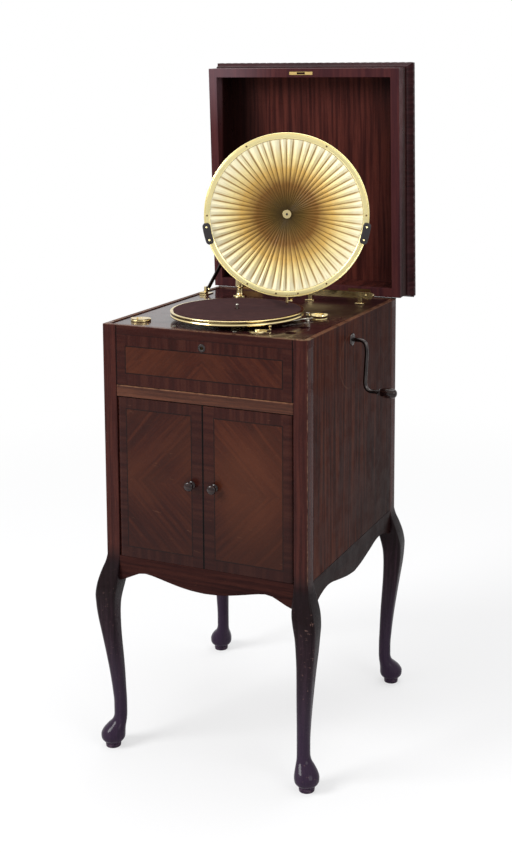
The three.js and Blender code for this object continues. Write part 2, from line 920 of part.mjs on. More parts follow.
// Moulding round the lid: share of its reach outwards and share of its height
const mouldingForm = [[0, 0], [0.2, 0.01], [0.24, 0.07], [0.3, 0.15], [0.42, 0.25], [0.62, 0.35],
  [0.84, 0.44],
  [0.97, 0.5], [1, 0.58], [1, 0.7], [0.94, 0.8], [0.78, 0.87], [0.62, 0.9], [0.6, 0.97],
  [0.54, 1], [0, 1]];
const mouldingHeight = lidTop + 0.8 - (rim + mouldingStart);
add(
  'lid_moulding',
  openLid(mitred(
    mouldingForm.map(([out, up]) => [seam + out * (mouldingReach - seam),
      rim + mouldingStart + up * mouldingHeight]),
    ...lidOuter,
  )),
  darkWood,
  0.35,
  0,
);
add(
  'lid_strike_plate',
  openLid(cut(
    board(
      [-strikeLength / 2, strikeLength / 2],
      [lockY - strikeWidth / 2, lockY + strikeWidth / 2],
      [lidLow, lidLow + 1.5],
      0.3,
    ),
    boltPocket,
  )),
  brassTone,
  0.3,
  1,
);

function fixedHinge(x) {
  const leaf = block(
    [x - hingeLength / 2, x + hingeLength / 2],
    [halfDepth - leafReach, hingeY],
    [rim - hingeLeaf, rim],
  );
  return fuse(
    cut(leaf, knuckle(x, 1 / 3, 2 / 3, 0, knuckleRadius + 0.4)),
    knuckle(x, 0, 1 / 3, 0, knuckleRadius),
    knuckle(x, 2 / 3, 1, 0, knuckleRadius),
    knuckle(x, 0, 1, 0, 1.5),
  );
}

function movingHinge(x) {
  const leaf = block(
    [x - hingeLength / 2, x + hingeLength / 2],
    [lidBack - movingReach, hingeY],
    [lidLow, lidLow + hingeLeaf],
  );
  const plate = cut(
    leaf,
    knuckle(x, 0, 1 / 3, looseFit, knuckleRadius + 0.4),
    knuckle(x, 2 / 3, 1, looseFit, knuckleRadius + 0.4),
  );
  const whole = fuse(plate, knuckle(x, 1 / 3, 2 / 3, -looseFit, knuckleRadius));
  return openLid(cut(whole, knuckle(x, 0, 1, 1, 1.5 + looseFit)));
}

add('hinge_left_fixed_leaf', fixedHinge(-hingeSpread), brassTone, 0.35, 1);
add('hinge_right_fixed_leaf', fixedHinge(hingeSpread), brassTone, 0.35, 1);
add('hinge_left_lid_leaf', movingHinge(-hingeSpread), brassTone, 0.35, 1);
add('hinge_right_lid_leaf', movingHinge(hingeSpread), brassTone, 0.35, 1);

// Lid stay: a slotted bar from a foot on the motor board to a stud in the lid's left wall
const stayX = -(halfWidth - stayInset);
const footZ = rim + stayFootRise;
const studY = hingeY + stayStudRadius * Math.cos(radians(stayStudDegrees));
const studZ = hingeZ + stayStudRadius * Math.sin(radians(stayStudDegrees));
const stayReach = Math.hypot(studY - stayFootY, studZ - footZ);
const stayAngle = Math.atan2(studZ - footZ, studY - stayFootY);
const lidInnerX = lidX - lidWall;

add(
  'lid_stay_foot',
  fuse(
    board([stayX - 12, stayX + 9], [stayFootY - 26, stayFootY + 14],
      [boardTop + seam, boardTop + 2.5], 0.5),
    board(
      [stayX - 8, stayX - stayThickness / 2 - 0.6],
      [stayFootY - 6, stayFootY + 6],
      [boardTop + 1.5, footZ + 7],
      0.5,
    ),
    rodX(stayPin, stayX - 6, stayX + stayThickness / 2 + 3, [stayFootY, footZ], 10),
    board([stayX - 11, stayX + 6], [stayFootY - 25, stayFootY - 13], [boardTop + 1.5, boardTop + 8], 1),
  ),
  brassTone,
  0.3,
  1,
);

function roundedBar(x0, x1, half, steps = 6) {
  const outline = [];
  for (let i = 0; i <= steps; i += 1) {
    const angle = -Math.PI / 2 + (Math.PI * i) / steps;
    outline.push([x1 + half * Math.cos(angle), half * Math.sin(angle)]);
  }
  for (let i = 0; i <= steps; i += 1) {
    const angle = Math.PI / 2 + (Math.PI * i) / steps;
    outline.push([x0 + half * Math.cos(angle), half * Math.sin(angle)]);
  }
  return outline;
}

const slotHalf = stayPin + 1;
const stayBar = slab(
  roundedBar(0, stayReach + 8, stayWidth / 2),
  -stayThickness / 2,
  stayThickness / 2,
  [circle(stayPin + looseFit), roundedBar(stayReach * 0.68, stayReach, slotHalf)],
);
stayBar.rotateZ(stayAngle).rotateX(Math.PI / 2).rotateZ(Math.PI / 2);
add('lid_stay_bar', stayBar.translate(stayX, stayFootY, footZ), brassTone, 0.3, 1);
add(
  'lid_stay_stud',
  fuse(
    board([-lidInnerX + seam, -lidInnerX + 2.2], [studY - 7, studY + 7], [studZ - 14, studZ + 14], 0.5),
    rodX(stayPin, -lidInnerX + 1, stayX + stayThickness / 2 + 2, [studY, studZ], 10),
    rodX(stayPin + 2.4, stayX + stayThickness / 2 + 0.8, stayX + stayThickness / 2 + 3.4,
      [studY, studZ], 10),
  ),
  brassTone,
  0.3,
  1,
);

// Crank through the right side
const outX = halfWidth;
add(
  'crank_bush',
  toX(turned([
    [crankRadius + looseFit + 0.2, -sideThickness - 1],
    [bushRadius, -sideThickness - 1],
    [bushRadius, seam],
    [bushRadius + 5.5, seam],
    [bushRadius + 5, 2],
    [bushRadius + 1, 3.4],
    [crankRadius + looseFit + 0.2, 3.4],
  ], 18)).translate(outX, crankY, crankZ),
  brassTone,
  0.35,
  1,
);
const crankPath = softened([
  [-20, 0], [outX + 31, 0], [outX + 36, -22], [outX + 31, -crankThrow + 12], [outX + 40, -crankThrow],
  [outX + 62, -crankThrow], [outX + 64.5, -crankThrow], [outX + 65 + gripLength - 6, -crankThrow],
].map(([x, z]) => new THREE.Vector3(x, crankY, crankZ + z)), 14, 3);
const wormTurns = 3;
const wormLength = 26;
const wormProfile = [[0, -18]];
for (let i = 0; i <= wormTurns * 2; i += 1) {
  wormProfile.push([i % 2 ? 5.5 : 4.9, -18 + (wormLength * i) / (wormTurns * 2)]);
}
wormProfile.push([0, -18 + wormLength]);
add(
  'crank_rod',
  fuse(
    wire(crankPath, crankPath.map((p) => (p.x > outX + 63 ? 3.5 : crankRadius)), 10),
    toX(turned(wormProfile, 18)).translate(0, crankY, crankZ),
  ),
  0x55504a,
  0.35,
  1,
);
add(
  'crank_grip',
  toX(turned([
    [3.9, 0], [gripRadius * 0.62, 0], [gripRadius * 0.72, 2], [gripRadius * 0.7, 5],
    [gripRadius * 0.86, 11],
    [gripRadius, 20], [gripRadius, 29], [gripRadius * 0.86, 36], [gripRadius * 0.5, gripLength - 1],
    [0, gripLength], [0, gripLength - 3], [3.9, gripLength - 3],
  ], 16)).translate(outX + 65.5, crankY, crankZ - crankThrow),
  0x1d1512,
  0.35,
  0,
);

// Turntable with its cloth and spindle
const turntableAt = [0, turntableY, rim];
const platter = turned([
  [spindleRadius + seam, platterLow + 1], [14, platterLow + 1], [14, platterHigh - 5.5],
  [platterRadius - 6, platterHigh - 5.5], [platterRadius - 4, platterLow],
  [platterRadius - 0.8, platterLow], [platterRadius, platterLow + 3],
  [platterRadius - 1.2, platterLow + 4.5], [platterRadius - 1.2, platterHigh - 3.4],
  [platterRadius, platterHigh - 2],
  [platterRadius - 0.8, platterHigh], [platterRadius - 5.5, platterHigh],
  [platterRadius - 6, platterHigh - 1],
  [spindleRadius + seam, platterHigh - 1],
], 48, turntableAt);
add('turntable', platter, 0xc9b071, 0.3, 1);
add(
  'turntable_cloth',
  turned([
    [spindleRadius + 2, platterHigh - 0.9], [platterRadius - 7, platterHigh - 0.9],
    [platterRadius - 7, platterHigh + 0.4], [platterRadius - 7.8, platterHigh + 1],
    [spindleRadius + 2.4, platterHigh + 1],
  ], 48, turntableAt),
  0x4a1f2c,
  0.95,
  0,
);

// Spring motor hung under the board: spindle S, train arbor T and barrel arbor B
function gear(teeth, low, high) {
  const pitch = (gearModule * teeth) / 2;
  const half = (Math.PI / teeth) * 0.4;
  const flank = [[-2.2, -1.15], [1.4, -0.38], [1.4, 0.38], [-2.2, 1.15]];
  const outline = [];
  for (let i = 0; i < teeth; i += 1) {
    const angle = (2 * Math.PI * i) / teeth;
    for (const [rise, turn] of flank) {
      const r = pitch + rise;
      outline.push([r * Math.cos(angle + turn * half), r * Math.sin(angle + turn * half)]);
    }
  }
  return slab(outline, low, high);
}

const pinionPitch = (gearModule * pinionTeeth) / 2;
const trainPitch = (gearModule * trainTeeth) / 2;
const barrelPitch = (gearModule * barrelTeeth) / 2;
const trainAngle = radians(trainDegrees);
const barrelAngle = radians(barrelDegrees);
const trainX = (trainPitch + pinionPitch) * Math.cos(trainAngle);
const trainY = turntableY + (trainPitch + pinionPitch) * Math.sin(trainAngle);
const barrelX = trainX + (barrelPitch + pinionPitch) * Math.cos(barrelAngle);
const barrelY = trainY + (barrelPitch + pinionPitch) * Math.sin(barrelAngle);
const plateTop = boardBottom - 4;
const plateLow = rim - motorDepth;
const arbor = 3.2;
const arborEnd = plateLow + plateThickness + 0.3;
const arborHead = plateTop - plateThickness - 0.3;

// A pinion has a tooth along the centre line and the wheel a gap facing it
const spindlePinion = gear(pinionTeeth, rim - 41, rim - 33).rotateZ(trainAngle);
const trainWheel = gear(trainTeeth, rim - 39, rim - 35).rotateZ(trainAngle + Math.PI + Math.PI / trainTeeth);
const trainPinion = gear(pinionTeeth, rim - 57, rim - 50).rotateZ(barrelAngle);
const barrelWheel = gear(barrelTeeth, rim - 56, rim - 51)
  .rotateZ(barrelAngle + Math.PI + Math.PI / barrelTeeth);

add(
  'turntable_spindle',
  fuse(
    turned([
      [0, arborEnd - rim], [spindleRadius, arborEnd - rim], [spindleRadius, -75], [14, -75],
      [13.2, -70], [14, -65],
      [spindleRadius, -65], [spindleRadius, -34], [5, -33], [5, platterLow - 4], [10, platterLow - 3],
      [10, platterLow + 1 - seam], [spindleRadius, platterLow + 1 - seam],
      [spindleRadius, spindleTop - 3],
      [spindleRadius * 0.6, spindleTop - 0.6], [0, spindleTop],
    ], 16, turntableAt),
    spindlePinion.translate(0, turntableY, 0),
  ),
  0xb9b2a2,
  0.25,
  1,
);
add(
  'train_wheel',
  fuse(
    trainWheel.translate(trainX, trainY, 0),
    trainPinion.translate(trainX, trainY, 0),
    disc(arbor, arborEnd, arborHead, 10, [trainX, trainY]),
  ),
  0xb59a5e,
  0.35,
  1,
);
add(
  'spring_barrel',
  cut(
    fuse(
      barrelWheel.translate(barrelX, barrelY, 0),
      turned([
        [0, -96], [40.5, -96], [42, -94.5], [42, -90], [41.2, -89], [41.2, -62], [42, -61],
        [42, -55.5], [0, -55.5],
      ], 24, [barrelX, barrelY, rim]),
    ),
    disc(arbor + 1 + looseFit, plateLow, rim, 14, [barrelX, barrelY]),
  ),
  0xb59a5e,
  0.35,
  1,
);
const windingTeeth = 20;
const windingSize = Math.abs(crankY - barrelY) - 5.5 - 0.5;
const windingOutline = [];
for (let i = 0; i < windingTeeth; i += 1) {
  const angle = (2 * Math.PI * i) / windingTeeth;
  const step = Math.PI / windingTeeth;
  for (const [r, turn] of [[-1.6, -0.7], [0, -0.35], [0, 0.35], [-1.6, 0.7]]) {
    windingOutline.push([
      (windingSize + r) * Math.cos(angle + turn * step),
      (windingSize + r) * Math.sin(angle + turn * step),
    ]);
  }
}
add(
  'winding_wheel',
  fuse(
    slab(windingOutline, rim - 49, rim - 42).translate(barrelX, barrelY, 0),
    disc(arbor + 1, arborEnd, arborHead, 14, [barrelX, barrelY]),
  ),
  0x8e8a80,
  0.4,
  1,
);

// Governor on a cross shaft beside the spindle's worm wheel
const governorZ = rim - 70;
const governorY = turntableY - 14 - 5 - 0.5;
const governorReach = 52;
const governorParts = [
  rodX(2, -governorReach, governorReach, [0, 0], 8),
  rodX(5, -9, 9, [0, 0], 10),
  rodX(7, 14, 19, [0, 0], 12),
  rodX(7, 40, 45, [0, 0], 12),
  rodX(14, -34, -31, [0, 0], 18),
];
for (let i = 0; i < 3; i += 1) {
  const strip = wire(softened([
    new THREE.Vector3(17, 0, 5.5), new THREE.Vector3(24, 0, 11), new THREE.Vector3(35, 0, 11),
    new THREE.Vector3(42, 0, 5.5),
  ], 4, 2), 1.1, 6);
  const weight = board([25, 34], [-3.5, 3.5], [9.5, 15.5], 0.8);
  governorParts.push(fuse(strip, weight).rotateX((2 * Math.PI * i) / 3));
}
add(
  'governor',
  fuse(...governorParts).translate(0, governorY, governorZ),
  0xb9b2a2,
  0.35,
  1,
);

// Motor frame: two plates, pillars, bearings, and the screws that hang it from the board
const plateX = [-plateHalfWidth, plateHalfWidth];
const plateY = [turntableY - plateHalfDepth, turntableY + plateHalfDepth];
const bore = (radius, [x, y]) => disc(radius, plateLow - 5, plateTop + 5, 10, [x, y]);
const topPlate = cut(
  board(plateX, plateY, [plateTop - plateThickness, plateTop], 0.5),
  bore(5 + looseFit + 0.3, [0, turntableY]),
);
const bottomPlate = board(
  [-cradleHalf, cradleHalf],
  [turntableY - cradleFront, turntableY + cradleBack],
  [plateLow, plateLow + plateThickness],
  0.5,
);
const pillarAt = [-(cradleHalf - 8), cradleHalf - 8].flatMap((x) => [[x, 8 - cradleFront],
  [x, cradleBack - 8]]);
const pillars = pillarAt.map(([x, y]) => disc(
  5,
  plateLow + plateThickness - 1,
  plateTop - plateThickness + 1,
  16,
  [x, turntableY + y],
));
const bearing = (x) => cut(
  board([x - 3, x + 3], [governorY - 6, governorY + 6],
    [plateLow + plateThickness - 1, governorZ + 6], 0.5),
  rodX(2 + looseFit, x - 5, x + 5, [governorY, governorZ], 8),
);
const crankBearing = cut(
  board([57, 64], [crankY - 9, crankY + 9], [crankZ - 9, plateTop - plateThickness + 1], 0.5),
  rodX(crankRadius + looseFit, 50, 70, [crankY, crankZ], 12),
);
const hangers = motorScrews.map(([x, y]) => turned([
  [0, plateTop - 1 - rim], [7, plateTop - 1 - rim], [7, boardBottom - seam - rim],
  [2.9, boardBottom - seam - rim],
  [2.9, boardTop + seam - rim], [5, boardTop + seam - rim], [4.6, boardTop + 1.3 - rim],
  [2.4, boardTop + 2 - rim],
  [0, boardTop + 2.1 - rim],
], 10, [x, y, rim]));
add(
  'motor_frame',
  fuse(
    topPlate,
    bottomPlate,
    ...pillars,
    bearing(-governorReach + 5),
    bearing(governorReach - 2),
    crankBearing,
    ...hangers,
  ),
  0x6f6a60,
  0.45,
  1,
);

// Speed dial with its lever, partly under the platter's rim
const dialFloor = boardTop + seam;
const dialTicks = [];
for (let i = 0; i < 7; i += 1) {
  dialTicks.push(
    block([dialRadius - 5.5, dialRadius - 2], [-0.4, 0.4], [dialFloor + 1.1, dialFloor + 5])
      .rotateZ(radians(-60 + i * 20)).translate(dialX, dialY, 0),
  );
}
add(
  'speed_dial',
  cut(
    turned([
      [4, dialFloor], [dialRadius, dialFloor], [dialRadius, dialFloor + 1],
      [dialRadius - 0.6, dialFloor + 1.6],
      [4, dialFloor + 1.6],
    ], 24, [dialX, dialY, 0]),
    ...dialTicks,
  ),
  brassTone,
  0.3,
  1,
);
const leverTurn = Math.atan2(12, 24.4);
add(
  'speed_lever',
  fuse(
    turned([
      [0, boardBottom - 8], [3, boardBottom - 8], [3, dialFloor + 1.9], [6, dialFloor + 1.9],
      [5.5, dialFloor + 4.4],
      [0, dialFloor + 4.8],
    ], 14, [dialX, dialY, 0]),
    slab(roundedBar(0, leverReach, 2.4, 4), dialFloor + 2, dialFloor + 3.6)
      .rotateZ(leverTurn)
      .translate(dialX, dialY, 0),
    turned([
      [0, dialFloor + 2.2], [2, dialFloor + 2.2], [1.8, dialFloor + 6], [3, dialFloor + 8],
      [3.2, dialFloor + 10],
      [1.8, dialFloor + 11.6], [0, dialFloor + 12],
    ], 10, [dialX + leverReach * Math.cos(leverTurn), dialY + leverReach * Math.sin(leverTurn), 0]),
  ),
  0xe2cfa0,
  0.25,
  1,
);

// Brake: a waved bar pivoted beside the platter with an upright pad at the rim
const brakePath = softened([[-28, -63], [-25, -45], [-8, -28], [-5, -10], [6, 0], [14, 12]].map(
  ([x, y]) => new THREE.Vector3(brakeX + x, brakeY + y, boardTop + 4.4),
), 8, 3);
add(
  'brake_lever',
  fuse(
    wire(brakePath, 1.7, 8),
    turned([
      [0, boardTop + seam], [5, boardTop + seam], [5, boardTop + 2], [3.4, boardTop + 2.6],
      [3.4, boardTop + 6],
      [0, boardTop + 6.4],
    ], 12, [brakeX + 6, brakeY, 0]),
    board(
      [brakeX + 2.6, brakeX + 8.6],
      [brakeY + 0.4, brakeY + 7],
      [boardTop + 4, rim + platterHigh - 5],
      0.6,
    ),
  ),
  0xc8c2b2,
  0.25,
  1,
);

// Needle bowls let into the board
const bowlSeat = boardTop + seam - rim;
const bowlDeep = boardBottom + 1 - rim;
const bowlTop = boardTop + bowlRise - rim;
const bowlNeck = bowlHole - 0.4;
add(
  'needle_bowl_open',
  turned([
    [0, bowlDeep], [bowlNeck * 0.7, bowlDeep], [bowlNeck, bowlDeep + 4], [bowlNeck, bowlSeat],
    [bowlNeck + 1.8, bowlSeat], [bowlNeck + 1.4, bowlSeat + 2.5], [bowlRadius - 1, bowlTop - 1],
    [bowlRadius, bowlTop], [bowlRadius - 1.6, bowlTop], [bowlNeck - 1.2, bowlSeat + 2],
    [bowlNeck - 1.6, bowlDeep + 5], [bowlNeck * 0.65, bowlDeep + 1.6], [0, bowlDeep + 1.6],
  ], 24, [openBowlX, openBowlY, rim]),
  brassTone,
  0.25,
  1,
);
const coverHigh = bowlSeat + 5;
const halfDisc = (radius, low, high, turn) => {
  const outline = [];
  for (let i = 0; i <= 14; i += 1) {
    const angle = turn + (Math.PI * i) / 14;
    outline.push([radius * Math.cos(angle), radius * Math.sin(angle)]);
  }
  return slab(outline, low, high);
};
add(
  'needle_bowl_covered',
  fuse(
    turned([
      [0, bowlDeep], [bowlNeck * 0.7, bowlDeep], [bowlNeck, bowlDeep + 4], [bowlNeck, bowlSeat],
      [bowlRadius + 0.5, bowlSeat], [bowlRadius + 0.5, coverHigh - 1.2], [bowlRadius, coverHigh - 0.6],
      [bowlRadius - 2.4, coverHigh - 0.6], [bowlNeck - 1.6, bowlSeat + 1],
      [bowlNeck - 1.6, bowlDeep + 5],
      [bowlNeck * 0.65, bowlDeep + 1.6], [0, bowlDeep + 1.6],
    ], 24),
    halfDisc(bowlRadius, coverHigh - 1.4, coverHigh, 0),
    disc(2, coverHigh - 2, coverHigh + 2.6, 8),
  ).translate(coveredBowlX, coveredBowlY, rim),
  brassTone,
  0.25,
  1,
);
add(
  'needle_bowl_lid',
  cut(
    fuse(
      halfDisc(bowlRadius, coverHigh + 0.3, coverHigh + 1.7, Math.PI),
      disc(5, coverHigh + 0.3, coverHigh + 1.9, 12),
      turned([
        [0, coverHigh + 1.2], [2, coverHigh + 1.2], [1.8, coverHigh + 3], [2.8, coverHigh + 4.4],
        [1.6, coverHigh + 5.8], [0, coverHigh + 6],
      ], 8, [0, -15, 0]),
    ),
    disc(2 + looseFit, coverHigh - 2, coverHigh + 5, 10),
  ).translate(coveredBowlX, coveredBowlY, rim),
  brassTone,
  0.25,
  1,
);

// Diaphragm parts are laid out about the ring's centre facing -Y, then turned and lifted into place
const yaw = radians(ringYaw);
const ringPlace = (geometry) => geometry.rotateZ(yaw).translate(ringX, ringY, rim + ringRise);
const paperRadius = ringRadius - ringWidth - 0.45;
const halfRing = ringThickness / 2;
const polar = (radius, degrees) => [radius * Math.cos(radians(degrees)),
  radius * Math.sin(radians(degrees))];

const ringMiddle = ringRadius - ringWidth / 2;
const screwHead = (y) => toFront(turned([
  [0, -0.8], [2.4, -0.8], [2.4, 0.5], [1.5, 1.2], [0, 1.4],
], 10)).translate(0, y, 0);
const ringScrews = [0, 60, 120, 180, 240, 300, 262, 278].map((degrees) => {
  const [x, z] = polar(ringMiddle, degrees);
  return screwHead(-halfRing).translate(x, 0, z);
});
add(
  'diaphragm_ring',
  ringPlace(fuse(
    toFront(turned([
      [ringRadius - ringWidth, -halfRing], [ringRadius, -halfRing], [ringRadius, halfRing - 0.8],
      [ringRadius - 0.8, halfRing], [ringRadius - ringWidth + 1.4, halfRing],
      [ringRadius - ringWidth, halfRing - 1.2],
    ], 60)),
    ...ringScrews,
  )),
  0xe0c88c,
  0.25,
  1,
);

function pleatedPaper() {
  const columns = pleatCount * 2;
  const shares = [1, 0.5, (bossRadius * 0.62) / paperRadius];
  const surface = (back) => shares.map((share) => Array.from({ length: columns }, (unused, k) => {
    const [x, z] = polar(paperRadius * share, (360 * k) / columns);
    const lift = (k % 2 ? 0.5 : -0.5) * pleatDepth * share;
    const y = coneDepth * (1 - share) + lift + (back ? paperThickness / 2 : -paperThickness / 2);
    return new THREE.Vector3(x, y, z);
  }));
  const front = surface(false);
  const rear = surface(true);
  const positions = [];
  const quad = (a, b, c, d) => [a, b, c, a, c, d].forEach((p) => positions.push(p.x, p.y, p.z));
  for (let k = 0; k < columns; k += 1) {
    const n = (k + 1) % columns;
    for (let j = 0; j + 1 < shares.length; j += 1) {
      quad(front[j][k], front[j][n], front[j + 1][n], front[j + 1][k]);
      quad(rear[j][n], rear[j][k], rear[j + 1][k], rear[j + 1][n]);
    }
    const last = shares.length - 1;
    quad(front[0][n], front[0][k], rear[0][k], rear[0][n]);
    quad(front[last][k], front[last][n], rear[last][n], rear[last][k]);
  }
  const geometry = new THREE.BufferGeometry();
  geometry.setAttribute('position', new THREE.Float32BufferAttribute(positions, 3));
  return geometry;
}

add('pleated_diaphragm', ringPlace(pleatedPaper()), 0xd8b060, 0.55, 0.2);

const padFront = -halfRing - seam - 4.6;
const padMiddle = ringRadius - ringWidth + 1.2 + padWidth / 2;
const padCentre = -THREE.MathUtils.radToDeg(Math.asin(padDrop / padMiddle));
const padHalf = THREE.MathUtils.radToDeg(padLength / padMiddle / 2);
const padAngles = [padCentre, 180 - padCentre];
function arcPlate(inner, outer, from, to, steps) {
  const outline = [];
  for (let i = 0; i <= steps; i += 1) {
    outline.push(polar(outer, from + ((to - from) * i) / steps));
  }
  for (let i = steps; i >= 0; i -= 1) {
    outline.push(polar(inner, from + ((to - from) * i) / steps));
  }
  return outline;
}

// Outlines drawn in X and Z stand up by turning them about X; they then run backwards from y 0
const upright = (outline, front, back) => toFront(slab(outline, -back, -front));

function ringPad(centre) {
  const pad = upright(
    arcPlate(padMiddle - padWidth / 2, padMiddle + padWidth / 2, centre - padHalf, centre + padHalf, 6),
    padFront,
    -halfRing - seam,
  );
  const heads = [-padHalf * 0.55, padHalf * 0.55].map((offset) => {
    const [x, z] = polar(padMiddle, centre + offset);
    return screwHead(padFront).translate(x, 0, z);
  });
  return ringPlace(fuse(pad, ...heads));
}

add('ring_pad_right', ringPad(padAngles[0]), 0x15120f, 0.45, 0);
add('ring_pad_left', ringPad(padAngles[1]), 0x15120f, 0.45, 0);

// Yoke behind the ring with the fold barrel at its foot
const yokeFront = halfRing + yokeGap;
const yokeBack = yokeFront + yokeThickness;
const foldZ = foldRise - ringRise;
const yokeEnd = 180 + (padAngles[0] + padHalf);
const spacers = [];
for (const centre of padAngles) {
  for (const offset of [-padHalf * 0.55, padHalf * 0.55]) {
    const [x, z] = polar(ringMiddle, centre + offset);
    spacers.push(toBack(disc(3.6, halfRing + seam, yokeFront + 0.5, 10)).translate(x, 0, z));
  }
}
add(
  'yoke',
  ringPlace(fuse(
    upright(
      arcPlate(ringRadius - 12, ringRadius - 1, -yokeEnd, -(180 - yokeEnd), 30),
      yokeFront,
      yokeBack,
    ),
    ...spacers,
    board([-7, 7], [yokeBack - 1, foldBack], [foldZ - 4.5, foldZ + 4.5], 0.5),
    rodX(foldRadius, -7.5, 7.5, [foldBack, foldZ], 14),
    rodX(2.4, -15.5, 15.5, [foldBack, foldZ], 10),
  )),
  0xd0b87c,
  0.3,
  1,
);

// Stylus lever behind the paper, from the needle clamp to the boss at the middle
const leverY = halfRing + 3.4;
const clampTop = -ringRadius - 1.4;
const needleTip = needleRise - ringRise;
const leverPath = softened([
  [leverY, clampTop - 3], [leverY, -paperRadius - 4], [leverY + 5, -paperRadius + 12],
  [coneDepth + 7, -bossRadius * 1.1], [coneDepth + 7, 0],
].map(([y, z]) => new THREE.Vector3(0, y, z)), 9, 3);
const bossShare = bossRadius / paperRadius;
const bossBack = coneDepth * (1 - bossShare) - (pleatDepth * bossShare + paperThickness) / 2 - looseFit;
const bossFront = bossBack - 3;
const collar = coneDepth + 0.4;
add(
  'stylus_lever',
  ringPlace(fuse(
    wire(leverPath, 1.5, 8),
    toBack(turned([
      [2.8, bossFront], [bossRadius - 0.8, bossFront], [bossRadius, bossFront + 0.8],
      [bossRadius, bossBack], [bossRadius * 0.52, bossBack],
      [bossRadius * 0.52, collar], [bossRadius * 0.8, collar], [bossRadius * 0.8, coneDepth + 4],
      [5, coneDepth + 5], [5, coneDepth + 8.5], [0, coneDepth + 8.5], [0, coneDepth + 1],
      [2.8, coneDepth + 1],
    ], 18)),
    turned([
      [0, needleTip], [0.35, needleTip + 2.9], [0.7, needleTip + 6.4], [2.6, needleTip + 7.4],
      [3.6, needleTip + 9.4], [3.6, clampTop - 4.1], [2.8, clampTop - 3.1], [2.8, clampTop],
      [0, clampTop],
    ], 12, [0, leverY, 0]),
    rodX(1.5, 2, 9, [leverY, clampTop - 8.1], 8),
    rodX(4.4, 8, 12, [leverY, clampTop - 8.1], 12),
  )),
  0xcdb377,
  0.3,
  1,
);

// Pillar and swinging arm
const foldX = ringX - foldBack * Math.sin(yaw);
const foldY = ringY + foldBack * Math.cos(yaw);
const hubLow = rim + armLow - 5.7;
const hubHigh = rim + armLow + armDepth;
add(
  'arm_pillar',
  turned([
    [0, boardTop + seam], [17, boardTop + seam], [17, boardTop + 2], [15, boardTop + 3.4],
    [9, boardTop + 5],
    [8, boardTop + 12], [8, hubLow - 4], [10, hubLow - 2], [10, hubLow - 0.3], [4, hubLow - 0.3],
    [4, hubHigh + 0.5], [7, hubHigh + 0.5], [7, hubHigh + 2.2], [4.5, hubHigh + 4], [0, hubHigh + 4.4],
  ], 18, [pillarX, pillarY, 0]),
  brassTone,
  0.3,
  1,
);
const armStart = new THREE.Vector3(pillarX, pillarY, 0);
const armEnd = new THREE.Vector3(
  foldX - (foldRadius + 4.5) * Math.sin(yaw),
  foldY + (foldRadius + 4.5) * Math.cos(yaw),
  0,
);
const armDirection = armEnd.clone().sub(armStart);
const armLength = armDirection.length();
const armTurn = Math.atan2(armDirection.y, armDirection.x);
const armClimb = foldRise - armDepth / 2 - armLow;
const armStations = [
  [hubRadius - 3, armLow, armLow + armDepth * 0.96, armDepth * 1.2],
  [armLength * 0.12, armLow, armLow + armDepth, armDepth * 1.2],
  [armLength * 0.3, armLow + armClimb * 0.07, armLow + armDepth + armClimb * 0.1, armDepth * 1.1],
  [armLength * 0.6, armLow + armClimb * 0.33, armLow + armDepth * 1.05 + armClimb * 0.37, armDepth],
  [armLength * 0.85, armLow + armClimb * 0.73, armLow + armDepth * 1.05 + armClimb * 0.77, armDepth],
  [armLength - 1, foldRise - armDepth / 2, foldRise + armDepth / 2, armDepth],
];
const armRings = armStations.map(([x, low, high, width]) => {
  const ease = 2.5;
  const w = width / 2;
  const corners = [[-w + ease, low], [w - ease, low], [w, low + ease], [w, high - ease],
    [w - ease, high],
    [-w + ease, high], [-w, high - ease], [-w, low + ease]];
  return corners.map(([y, z]) => new THREE.Vector3(x, y, z));
});
const armBar = loft(armRings).rotateZ(armTurn).translate(pillarX, pillarY, rim);
const fork = ringPlace(fuse(
  board([-15, 15], [foldBack + foldRadius + 1.2, foldBack + foldRadius + 7],
    [foldZ - 5.5, foldZ + 5.5], 0.8),
  ...[-1, 1].map((side) => {
    const xs = [side * 8, side * 15].sort((a, b) => a - b);
    return fuse(
      block(xs, [foldBack, foldBack + foldRadius + 3], [foldZ - 5.2, foldZ + 5.2]),
      rodX(5.2, xs[0], xs[1], [foldBack, foldZ], 14),
    );
  }),
));
const pinBore = ringPlace(rodX(2.4 + looseFit, -20, 20, [foldBack, foldZ], 10));
add(
  'tone_arm',
  cut(
    fuse(
      armBar,
      turned(
        [[0, hubLow], [hubRadius, hubLow], [hubRadius, hubHigh], [0, hubHigh]],
        18,
        [pillarX, pillarY, 0],
      ),
      fork,
    ),
    pinBore,
    disc(4 + looseFit, hubLow - 5, hubHigh + 5, 14, [pillarX, pillarY]),
  ),
  brassTone,
  0.3,
  1,
);

// Rail behind the turntable on two feet
const railLow = rim + railRise;
const railHigh = railLow + railHeight;
const railOutline = roundedBar(railX[0] + 8, railX[1], (railHigh - railLow) / 2, 8)
  .map(([x, z]) => [Math.max(x, railX[0]), z + (railLow + railHigh) / 2]);
const railBar = cut(
  upright(railOutline, railY - railHalf, railY + railHalf),
  block([railX[0] - 1, railX[1] - 6], [railY - railHalf + 2.4, railY + railHalf + 1],
    [railLow + 3, railHigh - 3]),
);
const railFoot = (x) => fuse(
  board([x - 5, x + 5], [railY - railHalf, railY + railHalf], [boardTop + 1, railLow + 1], 0.6),
  board([x - 12, x + 12], [railY - 8, railY + 8], [boardTop + seam, boardTop + 2.4], 0.6),
);
add(
  'rear_rest_rail',
  fuse(
    railBar,
    railFoot(railX[0] + 16),
    railFoot(railX[1] - 26),
    toFront(turned([[0, 4], [3.4, 4], [3, 6.2], [0, 6.6]], 10))
      .translate(railX[1] - 10, railY, (railLow + railHigh) / 2),
  ),
  brassTone,
  0.3,
  1,
);

